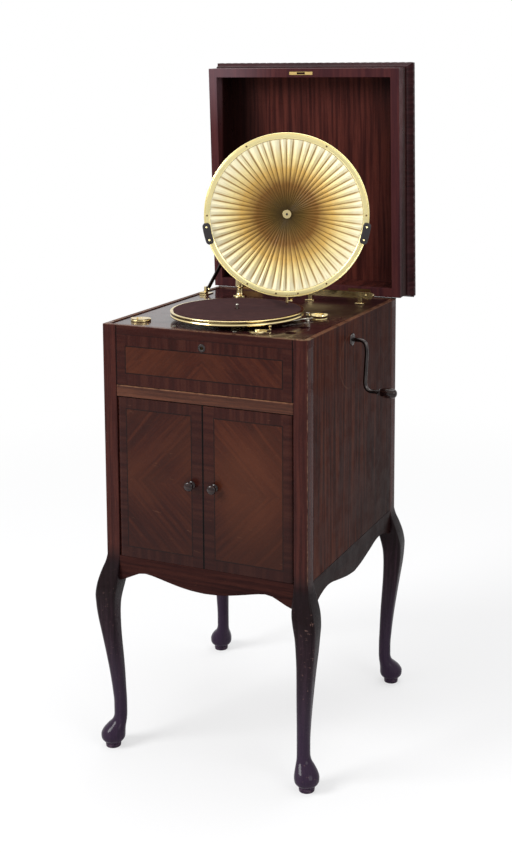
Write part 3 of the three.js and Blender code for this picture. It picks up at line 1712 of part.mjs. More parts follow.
// The frame starts at the middle of the underside of the whole outline
const box = new THREE.Box3().setFromObject(model);
const middle = box.getCenter(new THREE.Vector3());
for (const mesh of model.children) {
  mesh.geometry.translate(-middle.x, -middle.y, -box.min.z);
}

export default model;
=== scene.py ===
import math

import bmesh
import bpy
from mathutils import Matrix, Vector


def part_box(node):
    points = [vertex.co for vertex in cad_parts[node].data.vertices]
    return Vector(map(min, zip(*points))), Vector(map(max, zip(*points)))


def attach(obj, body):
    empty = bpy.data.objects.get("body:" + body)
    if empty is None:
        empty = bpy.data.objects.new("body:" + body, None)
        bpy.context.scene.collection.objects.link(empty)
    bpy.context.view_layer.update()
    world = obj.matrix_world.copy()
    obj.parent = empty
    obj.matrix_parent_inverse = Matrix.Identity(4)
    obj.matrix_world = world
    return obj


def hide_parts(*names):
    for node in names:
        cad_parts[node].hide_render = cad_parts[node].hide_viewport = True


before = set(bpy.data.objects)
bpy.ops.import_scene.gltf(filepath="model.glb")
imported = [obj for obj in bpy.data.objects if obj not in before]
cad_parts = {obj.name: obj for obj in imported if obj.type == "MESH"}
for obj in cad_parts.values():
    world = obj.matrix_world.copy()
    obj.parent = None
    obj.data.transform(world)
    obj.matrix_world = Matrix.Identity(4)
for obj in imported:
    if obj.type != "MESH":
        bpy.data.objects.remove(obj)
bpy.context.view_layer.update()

# Lengths below are millimetres from the middle of the case at the floor.
# The turntable's spindle stands in front of that middle, which gives the frame's own offset.
spindleY = -105
spindleLow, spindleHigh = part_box("turntable_spindle")
homeX = (spindleLow.x + spindleHigh.x) / 2
homeY = (spindleLow.y + spindleHigh.y) / 2 - spindleY / 1000
case = {"width": 498, "depth": 560, "top": 998, "boardTop": 996, "boardLow": 981}
halfWidth = case["width"] / 2
halfDepth = case["depth"] / 2
rim = case["top"]


def metres(x, y, z):
    return (x / 1000 + homeX, y / 1000 + homeY, z / 1000)


def tone(code):  # a paint chip such as "8a4a30" as a linear colour
    parts = [int(code[i:i + 2], 16) / 255 for i in (0, 2, 4)]
    return tuple(p / 12.92 if p <= 0.04045 else ((p + 0.055) / 1.055) ** 2.4 for p in parts) + (1.0,)


def linked(name, data):  # a new object in the scene
    thing = bpy.data.objects.new(name, data)
    bpy.context.scene.collection.objects.link(thing)
    return thing


print("camera and light")
view = {"at": (1268.6, -2664.2, 1535.3), "down": 7.1, "turn": 22.91, "lens": 53.53,
        "shift": (-0.0666, -0.22)}
camera = linked("camera", bpy.data.cameras.new("camera"))
camera.location = metres(*view["at"])
camera.rotation_euler = (math.radians(90 - view["down"]), 0, math.radians(view["turn"]))
camera.data.lens = view["lens"]
camera.data.sensor_width = 36
camera.data.shift_x, camera.data.shift_y = view["shift"]
camera.data.clip_end = 60
bpy.context.scene.camera = camera
bpy.context.scene.view_settings.view_transform = "Standard"

lamps = {
    "softWindow": {"at": (-2600, -2900, 3100), "size": 2.2, "watts": 165},
    "softRight": {"at": (3300, -1700, 2300), "size": 2.2, "watts": 30},
    "overhead": {"at": (300, 700, 4000), "size": 3.0, "watts": 60},
}
lampTarget = Vector(metres(0, 0, 850))
for lampName, setting in lamps.items():
    light = bpy.data.lights.new(lampName, "AREA")
    light.shape = "DISK"
    light.size = setting["size"]
    light.energy = setting["watts"]
    lamp = linked(lampName, light)
    lamp.location = metres(*setting["at"])
    lamp.rotation_euler = (lampTarget - lamp.location).to_track_quat("-Z", "Y").to_euler()


# A Wire is one socket in a Shading, and sums on it add their nodes.
class Wire:
    def __init__(self, shading, socket):
        self.shading = shading
        self.socket = socket

    def sum(self, word, first, second=0.0):
        pair = [first, second]
        kind = "Math"
        if any(isinstance(w, Wire) and w.socket.type == "VECTOR" for w in pair):
            pair = [(w,) * 3 if isinstance(w, (int, float)) else w for w in pair]
            kind = "VectorMath"
        return self.shading.node(kind, {"operation": word}, dict(enumerate(pair)))

    def __add__(self, other):
        return self.sum("ADD", self, other)

    def __sub__(self, other):
        return self.sum("SUBTRACT", self, other)

    def __rsub__(self, other):
        return self.sum("SUBTRACT", other, self)

    def __mul__(self, other):
        return self.sum("MULTIPLY", self, other)

    def __truediv__(self, other):
        return self.sum("DIVIDE", self, other)

    def __rtruediv__(self, other):
        return self.sum("DIVIDE", other, self)

    def __pow__(self, other):
        return self.sum("POWER", self, other)

    def __abs__(self):
        return self.sum("ABSOLUTE", self)

    __radd__, __rmul__ = __add__, __mul__

    def over(self, level):
        return self.sum("GREATER_THAN", self, level)

    def most(self, other):
        return self.sum("MAXIMUM", self, other)

    def angleFrom(self, other):
        return self.sum("ARCTAN2", self, other)

    # a smooth step, low at start and high at end; the step falls where start is the larger
    def ease(self, start, end, low=0.0, high=1.0):
        settings = {"interpolation_type": "SMOOTHSTEP"}
        return self.shading.node("MapRange", settings, {0: self, 1: start, 2: end, 3: low, 4: high})

    def blend(self, first, second):  # first where this is 0, second where it is 1
        return self.shading.node("Mix", {"data_type": "RGBA"}, {0: self, 6: first, 7: second}, 2)

    def ramp(self, *stops):
        return self.shading.node("ValToRGB", {"stops": stops}, {0: self})


class Shading:  # the nodes of one material or world
    def __init__(self, owner):
        owner.use_nodes = True
        self.tree = owner.node_tree
        self.tree.nodes.clear()

    # an input is a number, a wire or a paint chip, and out is the output that is wanted
    def node(self, kind, settings=None, inputs=None, out=0):
        made = self.tree.nodes.new("ShaderNode" + kind)
        for key, value in (settings or {}).items():
            if key == "stops":
                ramp = made.color_ramp
                for spot, colour in value[1:-1]:
                    ramp.elements.new(spot)
                for element, (spot, colour) in zip(ramp.elements, value):
                    element.position = spot
                    element.color = tone(colour)
            else:
                setattr(made, key, value)
        for key, value in (inputs or {}).items():
            if isinstance(value, Wire):
                self.tree.links.new(value.socket, made.inputs[key])
            else:
                made.inputs[key].default_value = tone(value) if isinstance(value, str) else value
        return Wire(self, made.outputs[out]) if made.outputs else None


class Finish(Shading):
    def __init__(self, name, slot):
        self.material = bpy.data.materials.new(name)
        super().__init__(self.material)
        self.slot = slot
        self.place = self.node("TexCoord", out="Object") * 1000 - (homeX * 1000, homeY * 1000, 0)
        self.x, self.y, self.z = self.split(self.place)

    def split(self, vector):
        return [self.node("SeparateXYZ", None, {0: vector}, axis) for axis in "XYZ"]

    # spot is a share of the place, a place, or three sums that make one
    def noise(self, spot, detail=4.0, rough=0.5):
        if isinstance(spot, float):
            spot = self.place * spot
        if isinstance(spot, tuple):
            spot = self.node("CombineXYZ", None, dict(enumerate(spot)))
        values = {"Vector": spot, "Scale": 1.0, "Detail": detail, "Roughness": rough}
        return self.node("TexNoise", None, values)

    def skin(self, height, depth, strength):
        return self.node("Bump", None, {"Height": height, "Distance": depth, "Strength": strength})

    def surface(self, sockets):
        return self.close(self.node("BsdfPrincipled", None, sockets))

    def close(self, shader):
        self.node("OutputMaterial", None, {"Surface": shader})
        return self


def distance(first, second):
    return (first * first + second * second) ** 0.5


def layered(colour, *layers):  # each layer is a mask and the chip that it shows
    for mask, chip in layers:
        colour = mask.blend(colour, chip)
    return colour


print("wood finishes")


# across runs over the grain and along runs with it, both in millimetres
def woodGrain(finish, across, along, depth, ribbon, wave=0.35):
    wander = finish.noise((across * 0.01, along * 0.004, depth * 0.01), 2.0)
    bent = across + (wander - 0.5) * (ribbon * 6 * wave)
    bands = finish.noise((bent / ribbon, along * 0.0035, depth * 0.02), 3.0, 0.55)
    fibre = finish.noise((bent * 1.1, along * 0.035, depth * 0.3), 5.0, 0.65)
    pores = finish.noise((bent * 3.4, along * 0.11, depth * 1.2), 2.0).ease(0.56, 0.66)
    cloud = finish.noise(0.011, 3.0)
    return bands, fibre, pores, cloud


def woodTone(parts, chips, figure=0.5):  # figure is the bands' share, against the fibre's
    bands, fibre, pores, cloud = parts
    dark, middle, light = chips
    mixed = bands.ease(0.3, 0.7) * figure + fibre.ease(0.25, 0.75) * (0.9 - figure) + cloud * 0.22
    shade = mixed.ramp((0.12, dark), (0.5, middle), (0.92, light))
    return (pores * 0.5).blend(shade, dark)


def polished(finish, colour, parts, rough, bump=0.00005, coat=0.04, level=0.12):
    fibre, pores = parts[1:3]
    dull = finish.noise(0.03, 4.0, 0.6).ease(0.3, 0.75, rough - 0.05, rough + 0.11)
    return finish.surface({
        "Base Color": colour, "Roughness": dull + pores * 0.08, "Specular IOR Level": level,
        "Coat Weight": coat, "Coat Roughness": 0.09, "Normal": finish.skin(fibre * 0.6 - pores, bump, 0.5),
    })


# a dark, a middle and a light chip of each wood
woods = {
    "dark": ("130a0c", "21141a", "33222a"),
    "post": ("24100f", "391b18", "4b261f"),
    "veneer": ("28120e", "381710", "4a2316"),
    "band": ("250f0c", "321410", "402018"),
    "side": ("230e0a", "381811", "4e2618"),
    "plain": ("341d16", "4a2a1f", "603a2a"),
    "apron": ("1a0b0b", "2b1412", "3a1d18"),
    "cornice": ("1c0c0e", "2d1517", "3d2022"),
    "lid": ("2b1211", "411e1a", "562a23"),
    "board": ("1f0f0f", "301818", "432423"),
    "rail": ("2b1610", "46271c", "603928"),
    "turned": ("0f0808", "1e1010", "35201a"),
}


def darkWood():  # legs and the corner posts over them, worn where they are handled
    finish = Finish("dark_polished_mahogany", "dark_mahogany")
    x, y, z = finish.x, finish.y, finish.z
    parts = woodGrain(finish, x + y * 0.7, z, y, 7.0)
    leg = layered(woodTone(parts, woods["dark"]), (z.ease(330, 60, 0.0, 0.55), "2f1d3a"),
                  (z.ease(320, 400) * 0.75, "140b0b"))
    wood = z.ease(440, 500).blend(leg, woodTone(parts, woods["post"]))
    rubs = finish.noise((x * 0.13, y * 0.13, z * 0.16), 4.0, 0.7)
    nearFront, nearRight = y.ease(-262, -292), x.ease(236, 262)
    worn = rubs.ease(0.62, 0.7) * nearFront * (0.35 + nearRight * 0.65) * z.ease(470, 400)
    feet = rubs.ease(0.4, 0.62) * z.ease(13, 7)
    # the corner nearest the eye and the top edges are paler in chips: worn, and with a painted highlight
    chips = finish.noise((x * 0.1, y * 0.1, z * 0.035), 5.0, 0.75)
    arris = x.ease(247.1, 248.6) * y.ease(-278.1, -279.6) * z.ease(455, 480)
    crown = z.ease(996.3, 997.4) * z.ease(999, 998.6)
    edges = arris.most(crown * 0.7) * chips.ease(0.4, 0.62)
    colour = layered(wood, (worn * 0.75, "8a6a62"), (feet * 0.55, "5d4a58"), (edges * 0.7, "96735a"))
    return polished(finish, colour, parts, rough=0.24, level=0.06, coat=z.ease(330, 150, 0.04, 0.24))


# the veneered fields of the front: half their width and height, and the height of their middle
front = {
    "halfX": 191.5, "meetX": 28, "split": 861.2, "topRail": 977, "seamX": 212.8,
    "upperMiddle": 920.5, "upperHalf": 30.5, "doorMiddle": 649.5, "doorHalf": 159.5,
}


def frontWood():  # quartered veneer inside crossbanding, with black stringing between
    finish = Finish("quartered_front_veneer", "case_veneer")
    x, z = finish.x, finish.z
    farX = abs(x)
    upper = z.ease(front["split"], front["split"] + 0.4)
    doors = 1 - upper
    rise = z - (upper * front["upperMiddle"] + doors * front["doorMiddle"])
    farZ = abs(rise)
    slope = upper * rise + doors * farZ
    across = (farX + slope) * 0.7071
    along = (farX - slope) * 0.7071 + upper * 700
    quarter = x.over(0) * 37 + rise.over(0) * 91
    field = woodGrain(finish, across, along + quarter, finish.y, 8.5, 0.5)
    glow = finish.noise((x * 0.006, 0.0, z * 0.005), 2.0).ease(0.4, 0.62)
    fieldTone = (glow * 0.35).blend(woodTone(field, woods["veneer"]), "4f2918")
    # outside the inner rectangles the banding runs square to the edge
    fromX, meetX = farX - front["halfX"], farX - front["meetX"]
    fromZ = farZ - (upper * front["upperHalf"] + doors * front["doorHalf"])
    inside = fromX.ease(0.1, -0.1) * fromZ.ease(0.1, -0.1) * (1 - doors * meetX.ease(0.1, -0.1))
    upright = fromX.over(0).most(doors * (0 - meetX).over(0))
    level = 1 - upright
    band = woodGrain(finish, upright * z + level * x, upright * x + level * z, finish.y + 300, 11.0, 0.3)
    colour = inside.blend(woodTone(band, woods["band"], 0.55), fieldTone)
    topRail = z.ease(front["topRail"] - 0.4, front["topRail"] + 0.2)
    railParts = woodGrain(finish, z, x, finish.y, 8.0, 0.2)
    colour = topRail.blend(colour, woodTone(railParts, woods["band"], 0.4))
    # stringing round each field, and the joint under the top rail
    endZ = fromZ.ease(1.0, 0.6)
    stringX = abs(fromX).ease(1.4, 0.9) * endZ
    stringZ = abs(fromZ).ease(1.4, 0.9) * fromX.ease(1.0, 0.6) * (1 - doors * meetX.ease(-0.6, -1.0))
    stringMeet = doors * abs(meetX).ease(1.4, 0.9) * endZ
    string = stringX.most(stringZ).most(stringMeet)
    onFace = finish.y.ease(-halfDepth + 1.6, -halfDepth + 1.0)
    joint = abs(z - front["topRail"]).ease(0.8, 0.3)
    string = string * onFace * (1 - topRail)
    # the doors are darker towards the bottom, a painted shade; the left one is darker all over, the right one
    # warm in its middle
    shadeLowDarkLeft = doors * z.ease(770, 480, 0.0, 0.42).most(x.ease(-2, 2, 0.22, 0.0))
    warm = doors * x.ease(15, 105) * x.ease(215, 125) * z.ease(500, 640) * z.ease(840, 700)
    doorSeam = doors * farX.ease(2.6, 1.7).most(z.ease(839.6, 841)).most(z.ease(458, 457))
    sideSeam = farX.ease(front["seamX"], front["seamX"] + 1)
    seams = doorSeam.most(sideSeam).most(upper * z.ease(863.4, 862.6))
    # the top edge paler in chips: worn, and with a painted highlight
    crown = z.ease(996.4, 997.6) * finish.noise(0.06).ease(0.3, 0.6)
    scratch = finish.noise((x * 0.02, finish.y, z * 0.9 + x * 0.12), 2.0).ease(0.735, 0.75)
    colour = layered(colour, (string * 0.9, "120a0a"), (joint * 0.8, "120a0a"), (shadeLowDarkLeft, "1c0d0c"),
                     (warm * 0.4, "5a3220"), (seams * 0.92, "0a0505"), (crown * 0.4, "7d5945"),
                     (scratch * 0.35, "a87a5c"))
    return polished(finish, colour, field, rough=0.25, level=0.09, coat=0.02)


def sideWood():  # straight striped veneer, standing grain, with fine scratches
    finish = Finish("striped_side_veneer", "case_veneer")
    x, y, z = finish.x, finish.y, finish.z
    parts = woodGrain(finish, y + x * 0.9, z, x, 10.0, 0.12)
    hair = finish.noise((x, y * 0.02 + z * 0.006, z * 0.5), 2.0).ease(0.775, 0.79)
    sweep = abs(distance(y + 32, z - 905) - 62)  # the arc that a crank has rubbed beside its bush
    mark = sweep.ease(1.1, 0.4) * y.ease(-20, -60) * x.over(0)
    # darker towards the back, and darkest low at the back: painted shade
    lowBackShade = y.ease(-200, 250) * z.ease(740, 480, 0.0, 0.55)
    # the top edge paler in chips: worn, and with a painted highlight
    crown = z.ease(996.4, 997.6) * finish.noise(0.06).ease(0.25, 0.55)
    colour = layered(woodTone(parts, woods["side"], 0.72), (hair * 0.3, "9c7660"), (mark * 0.3, "8d6450"),
                     (y.ease(-180, 290, 0.0, 0.5), "1d100f"), (lowBackShade, "120c0b"), (crown * 0.45, "7d5945"))
    return polished(finish, colour, parts, rough=0.36, level=0.02, coat=0.0)


def trimWood(name, chips):  # aprons and lid moulding, dull in their own tone, the side aprons darkened with painted shade
    finish = Finish(name, "dark_mahogany")
    parts = woodGrain(finish, finish.z, finish.x + finish.y, finish.y * 0.2, 7.0, 0.3)
    # the aprons at the sides darker: painted shade
    sideApronShade = abs(finish.x).ease(225, 232) * finish.z.ease(520, 470)
    rubs = finish.noise(0.07, 5.0, 0.72).ease(0.66, 0.74)
    colour = layered(woodTone(parts, chips), (sideApronShade * 0.65, "100a0a"), (rubs * 0.3, "6a4636"))
    return polished(finish, colour, parts, rough=0.34, level=0.03, coat=0.01)


def railWood():  # middle rail, its top edge rubbed pale and with a painted highlight
    finish = Finish("middle_rail_veneer", "case_veneer")
    parts = woodGrain(finish, finish.z, finish.x, finish.y, 7.0, 0.25)
    edge = finish.z.ease(858.4, 860.8) * finish.noise(0.05).ease(0.25, 0.6)
    seam = finish.z.ease(837.2, 836.4)
    colour = layered(woodTone(parts, woods["rail"]), (edge * 0.7, "94694c"), (seam * 0.9, "0a0505"))
    return polished(finish, colour, parts, rough=0.3)


def lidWood():  # ribbon striped mahogany of the lid, reddish inside
    finish = Finish("ribbon_striped_lid", "case_veneer")
    x, y, z = finish.x, finish.y, finish.z
    parts = woodGrain(finish, x, z, y, 11.0, 0.12)
    # darker towards the walls inside, a painted shadow, and a violet painted sheen on the edge that meets the
    # case
    inside = y.ease(286, 300)
    wallShadow = x.ease(120, 238, 0.0, 0.66).most(x.ease(-110, -215, 0.0, 0.84)) * inside
    edge = 1 - inside
    # a paler patch on the edge near the upper left corner: a painted highlight
    cornerGlare = edge * x.ease(-40, -220) * z.ease(1380, 1560)
    colour = layered(woodTone(parts, woods["lid"], 0.74), (wallShadow, "140909"), (edge * 0.42, "472a31"),
                     (cornerGlare * 0.4, "7c656c"))
    return polished(finish, colour, parts, rough=0.31, level=0.04, coat=0.0)


def boardWood():  # polished motor board, grain from side to side
    finish = Finish("polished_motor_board", "case_veneer")
    x, y = finish.x, finish.y
    parts = woodGrain(finish, y, x, finish.z, 9.0, 0.5)
    # darker under and in a ring just round the turntable: painted shade
    turntableShade = distance(x, y - spindleY).ease(175, 150) * 0.25
    # towards the right and back the board is darker, rougher and has a thinner coat
    worn = x.ease(20, 120) * y.ease(-70, 60)
    return finish.surface({
        "Base Color": turntableShade.most(worn * 0.6).blend(woodTone(parts, woods["board"]), "160a0a"),
        "Roughness": finish.noise(0.02).ease(0.3, 0.7, 0.12, 0.22) + worn * 0.2,
        "Specular IOR Level": 0.06, "Coat Weight": (1 - worn) * 0.34, "Coat Roughness": 0.05,
        "Normal": finish.skin(parts[1] - parts[2], 0.00003, 0.4),
    })


def plainWood():  # shelf, bottom and back, unpolished
    finish = Finish("plain_case_wood", "plain_wood")
    parts = woodGrain(finish, finish.y + finish.z * 0.8, finish.x, finish.z, 10.0, 0.6)
    colour = woodTone(parts, woods["plain"], 0.55)
    return polished(finish, colour, parts, rough=0.52, bump=0.0001, coat=0.0, level=0.3)


def turnedWood():  # knobs and the crank's grip, nearly black
    finish = Finish("turned_dark_wood", "turned_wood")
    parts = woodGrain(finish, finish.z, finish.x + finish.y, finish.y, 3.0, 0.3)
    return polished(finish, woodTone(parts, woods["turned"]), parts, rough=0.15, coat=0.2, level=0.2)


print("metal, paper and cloth finishes")


# brushed stretches the fine lines, spots is the strength of tarnish, groove the heights of a groove whose
# band is darkened as painted shade
def metal(name, slot, base, shade, rough, brushed=(1.0, 1.0, 1.0), spots=0.3, bump=0.00003, groove=None):
    finish = Finish(name, slot)
    lines = finish.noise(finish.place * brushed, 5.0, 0.6)
    cloud = finish.noise(0.025, 5.0, 0.65)
    specks = finish.noise(0.35, 3.0, 0.7).ease(0.66, 0.78)
    colour = layered(base, (cloud.ease(0.35, 0.75) * spots, shade), (specks * spots * 1.2, shade))
    if groove:
        low, high = groove
        # the band inside the groove darkened: painted shade
        grooveShade = finish.z.ease(low - 0.4, low + 0.4) * finish.z.ease(high + 0.4, high - 0.4)
        colour = (grooveShade * 0.85).blend(colour, "4a3a1c")
    return finish.surface({
        "Base Color": colour, "Metallic": 1.0,
        "Roughness": cloud.ease(0.3, 0.7, rough - 0.05, rough + 0.09) + specks * 0.12,
        "Normal": finish.skin(lines * 0.6 + specks * 0.4, bump, 0.5),
    })


ringCentre = Vector((102.5, -56.6, rim + 234.9))
ringYaw = math.radians(23.28)
disc = {"radius": 187.5, "width": 14.5, "thick": 4.4, "pleats": 60, "depth": 5, "cone": 32, "paper": 0.7,
        "boss": 10.5, "pad": (18, 49, 41)}
ringR, ringW, halfRing = disc["radius"], disc["width"], disc["thick"] / 2
paperR = ringR - ringW - 0.45


def pleatFinish():  # lacquered paper: pale gold at the rim, brown towards the middle, the folds darkened with painted shade
    finish = Finish("golden_pleated_paper", "pleated_paper")
    dx, dy, dz = finish.split(finish.place - tuple(ringCentre))
    flatX = dx * math.cos(ringYaw) + dy * math.sin(ringYaw)
    deep = dy * math.cos(ringYaw) - dx * math.sin(ringYaw)
    radius = distance(flatX, dz)
    angle = dz.angleFrom(flatX)
    share = radius / paperR
    fold = (deep - (1 - share) * disc["cone"]) / (share.most(0.05) * (disc["depth"] / 2))  # -1 on the crests
    mottled = finish.noise((angle * 9, radius * 0.05, 0.0), 4.0, 0.6)
    streak = finish.noise((angle * 60, radius * 0.012, 0.0), 3.0)
    drift = share + (mottled - 0.5) * 0.12
    body = drift.ramp((0.05, "33260f"), (0.2, "54401b"), (0.4, "80592a"), (0.6, "d9b264"), (0.76, "f8e5a6"),
                      (0.94, "fff6d0"))
    # a darker copy of the tones, blended in at the folds: painted shade
    shaded = drift.ramp((0.05, "0a0703"), (0.22, "1c1107"), (0.45, "472e11"), (0.7, "84602c"),
                        (0.97, "b5935a"))
    colour = fold.ease(0.1, 0.8).blend(body, shaded)
    colour = (streak.ease(0.5, 0.68) * 0.3).blend(colour, "8c6c36")
    return finish.surface({
        "Base Color": colour, "Metallic": 0.05, "Roughness": mottled.ease(0.3, 0.7, 0.34, 0.5),
        "Specular IOR Level": 0.12,
        "Normal": finish.skin(finish.noise(0.9, 3.0), 0.00008, 0.5),
    })


def clothFinish():  # plum brown baize with a short nap
    finish = Finish("plum_baize", "baize")
    nap = finish.noise(1.6, 4.0, 0.7)
    lay = finish.noise(0.045, 5.0, 0.6)
    rings = distance(finish.x, finish.y - spindleY)
    rubbed = rings.ease(40, 60, 0.25, 1.0) * rings.ease(110, 140, 1.0, 0.4)
    shade = (nap * 0.85 + lay * 0.3).ramp((0.3, "281415"), (0.6, "3a2021"), (0.85, "4c2e2e"))
    return finish.surface({
        "Base Color": (rubbed * lay.ease(0.45, 0.7) * 0.12).blend(shade, "563834"),
        "Roughness": nap.ease(0.2, 0.8, 0.85, 1.0), "Specular IOR Level": 0.03,
        "Sheen Weight": 0.03, "Sheen Roughness": 0.5, "Normal": finish.skin(nap, 0.0004, 0.7),
    })


def padFinish():  # black pads that hold the ring
    finish = Finish("black_pad", "black_pad")
    grain = finish.noise(1.4, 4.0, 0.6)
    return finish.surface({
        "Base Color": grain.ramp((0.3, "100c0e"), (0.7, "241c20")),
        "Roughness": grain.ease(0.3, 0.7, 0.35, 0.5), "Normal": finish.skin(grain, 0.0001, 0.4),
    })


finishes = {
    "dark": darkWood(),
    "front": frontWood(),
    "side": sideWood(),
    "rail": railWood(),
    "apron": trimWood("apron_mahogany", woods["apron"]),
    "cornice": trimWood("moulding_mahogany", woods["cornice"]),
    "lid": lidWood(),
    "board": boardWood(),
    "plain": plainWood(),
    "turned": turnedWood(),
    "brass": metal("pale_gold_brass", "brass", "ead6a0", "a88a50", 0.17),
    "platterBrass": metal("turntable_brass", "brass", "ead6a0", "a88a50", 0.17,
                          groove=(rim + 13.4, rim + 17.2)),
    "ringBrass": metal("ring_brass", "brass", "fdeeb0", "dcc27e", 0.27, (0.4, 0.4, 0.4), 0.28),
    "oldBrass": metal("dull_brass", "brass", "c6ab70", "735a2e", 0.3, (0.2, 2.0, 2.0), 0.45),
    "bronze": metal("browned_brass", "brass", "6d5230", "2c1f14", 0.42, (0.3, 0.3, 0.3), 0.6),
    "steel": metal("nickelled_steel", "steel", "b9b3a8", "77706a", 0.16),
    "darkSteel": metal("dark_polished_steel", "steel", "494443", "1b1716", 0.17, (1, 1, 1), 0.5),
    "iron": metal("motor_iron", "motor_iron", "6f6b62", "3f3b35", 0.45, (0.6, 0.6, 0.6), 0.5, 0.0002),
    "pleats": pleatFinish(),
    "baize": clothFinish(),
    "pad": padFinish(),
}

# the pieces that keep the part's own solids: those with flat faces, then those with curved ones
kept = {
    "front": (["upper_front_panel"], ["door_left", "door_right"]),
    "side": (["side_panel_left", "side_panel_right"], []),
    "rail": (["middle_rail_front"], []),
    "apron": (["apron_front", "apron_back", "apron_left", "apron_right"], []),
    "lid": (["lid_frame", "lid_panel"], []),
    "board": (["motor_board"], []),
    "plain": (["back_panel", "bottom_board", "motor_shelf"], []),
    "oldBrass": (["lid_strike_plate", "lid_lock"],
                 ["train_wheel", "winding_wheel", "spring_barrel", "governor"]),
    "bronze": ([], ["hinge_left_fixed_leaf", "hinge_right_fixed_leaf", "hinge_left_lid_leaf",
                    "hinge_right_lid_leaf"]),
    "brass": (["lock_bolt", "speed_dial"],
              ["lid_stay_foot", "lid_stay_stud", "speed_lever", "needle_bowl_lid", "tone_arm", "yoke",
               "stylus_lever", "rear_rest_rail"]),
    "steel": ([], ["turntable_spindle"]),
    "darkSteel": ([], ["lid_stay_bar", "crank_bush"]),
    "iron": (["motor_frame"], []),
}


def softenShading(mesh, degrees=35):  # smooth faces, kept crisp where they meet at a real edge
    work = bmesh.new()
    work.from_mesh(mesh)
    sharp = [e.calc_face_angle(0.0) > math.radians(degrees) or not e.is_manifold for e in work.edges]
    work.free()
    mesh.polygons.foreach_set("use_smooth", [True] * len(mesh.polygons))
    marks = mesh.attributes.get("sharp_edge") or mesh.attributes.new("sharp_edge", "BOOLEAN", "EDGE")
    marks.data.foreach_set("value", sharp)
    mesh.update()


print("finishes on the part's own solids")
for finishName, (flat, curved) in kept.items():
    for nodeName in flat + curved:
        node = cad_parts[nodeName]
        node.data.materials.clear()
        node.data.materials.append(finishes[finishName].material)
        if nodeName in curved:
            softenShading(node.data)


# points are millimetres; move shifts or turns them, and stands names the solids that the piece replaces
def makePiece(name, points, faces, finish, body, stands=(), sharp=35, move=None):
    mesh = bpy.data.meshes.new(name)
    if move:
        points = [move(Vector(p)) for p in points]
    mesh.from_pydata([metres(*p) for p in points], [], faces)
    work = bmesh.new()
    work.from_mesh(mesh)
    bmesh.ops.remove_doubles(work, verts=work.verts, dist=2e-6)
    bmesh.ops.recalc_face_normals(work, faces=work.faces)
    work.to_mesh(mesh)
    work.free()
    piece = linked(name, mesh)
    mesh.materials.append(finishes[finish].material)
    softenShading(mesh, sharp)
    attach(piece, body)
    if stands:
        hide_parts(*stands)
    return piece


def polar(radius, turn):
    return radius * math.cos(turn), radius * math.sin(turn)


def ringFaces(rings, count, closed=False):  # quads between rows of points
    faces = []
    for r in range(rings if closed else rings - 1):
        for k in range(count):
            a, b = r * count, (r + 1) % rings * count
            n = (k + 1) % count
            faces.append((a + k, a + n, b + n, b + k))
    return faces


def capped(rings, count):  # the same, with a face over each end
    ends = [tuple(reversed(range(count))), tuple(range((rings - 1) * count, rings * count))]
    return ringFaces(rings, count) + ends


def turned(profile, sides, at=(0, 0, 0)):  # (radius, height) rows about Z, joined up where they miss the axis
    closed = profile[0][0] > 1e-6 or profile[-1][0] > 1e-6
    points = []
    for radius, height in profile:
        for k in range(sides):
            x, y = polar(radius, 2 * math.pi * k / sides)
            points.append((at[0] + x, at[1] + y, at[2] + height))
    return points, ringFaces(len(profile), sides, closed)


def bends(points, reach, steps, most):  # short curves at the corners, each up to a share of its side
    out = []
    for before, here, after in zip(points, points[1:], points[2:]):
        before, here, after = Vector(before), Vector(here), Vector(after)
        start = here + (before - here).normalized() * min(reach, (before - here).length * most)
        end = here + (after - here).normalized() * min(reach, (after - here).length * most)
        for s in range(steps + 1):
            t = s / steps
            out.append(start.lerp(here, t).lerp(here.lerp(end, t), t))
    return out


def rounded(profile, reach):
    return [profile[0], *(tuple(p) for p in bends(profile, reach, 2, 0.45)), profile[-1]]


def smoothPath(points, reach, steps):
    out = [Vector(points[0]), *bends(points, reach, steps, 0.5), Vector(points[-1])]
    return [p for i, p in enumerate(out) if i == 0 or (p - out[i - 1]).length > 0.05]


def tube(path, radii, sides):  # radii is one radius, or one for each point
    points = []
    guide = Vector((0, 1, 0))
    for i, here in enumerate(path):
        ahead = (path[min(i + 1, len(path) - 1)] - path[max(i - 1, 0)]).normalized()
        if abs(guide.dot(ahead)) > 0.9:
            guide = Vector((1, 0, 0))
        side = (guide - ahead * guide.dot(ahead)).normalized()
        other = ahead.cross(side)
        radius = radii[i] if isinstance(radii, list) else radii
        for k in range(sides):
            turn = 2 * math.pi * k / sides
            points.append(tuple(here + side * radius * math.cos(turn) + other * radius * math.sin(turn)))
        guide = side
    return points, capped(len(path), sides)


def gather(*shapes):  # several closed forms as one mesh
    points, faces = [], []
    for shapePoints, shapeFaces in shapes:
        base = len(points)
        points += [tuple(p) for p in shapePoints]
        faces += [tuple(base + i for i in face) for face in shapeFaces]
    return points, faces


def shifted(shape, move):
    return [tuple(move(Vector(p))) for p in shape[0]], shape[1]


def toFront(shape):  # forms turned about Z now face the front
    return shifted(shape, lambda p: Vector((p.x, -p.z, p.y)))


def ledges(outline, levels):  # an anticlockwise outline at each height, drawn in by the level's amount
    points = []
    for height, inward in levels:
        for i, (x, y) in enumerate(outline):
            run = (Vector(outline[(i + 1) % len(outline)]) - Vector(outline[i - 1])).normalized()
            points.append((x - run.y * inward, y + run.x * inward, height))
    return points, capped(len(levels), len(outline))


def slab(outline, low, high, ease):
    return ledges(outline, [(low, ease), (low + ease, 0), (high - ease, 0), (high, ease)])


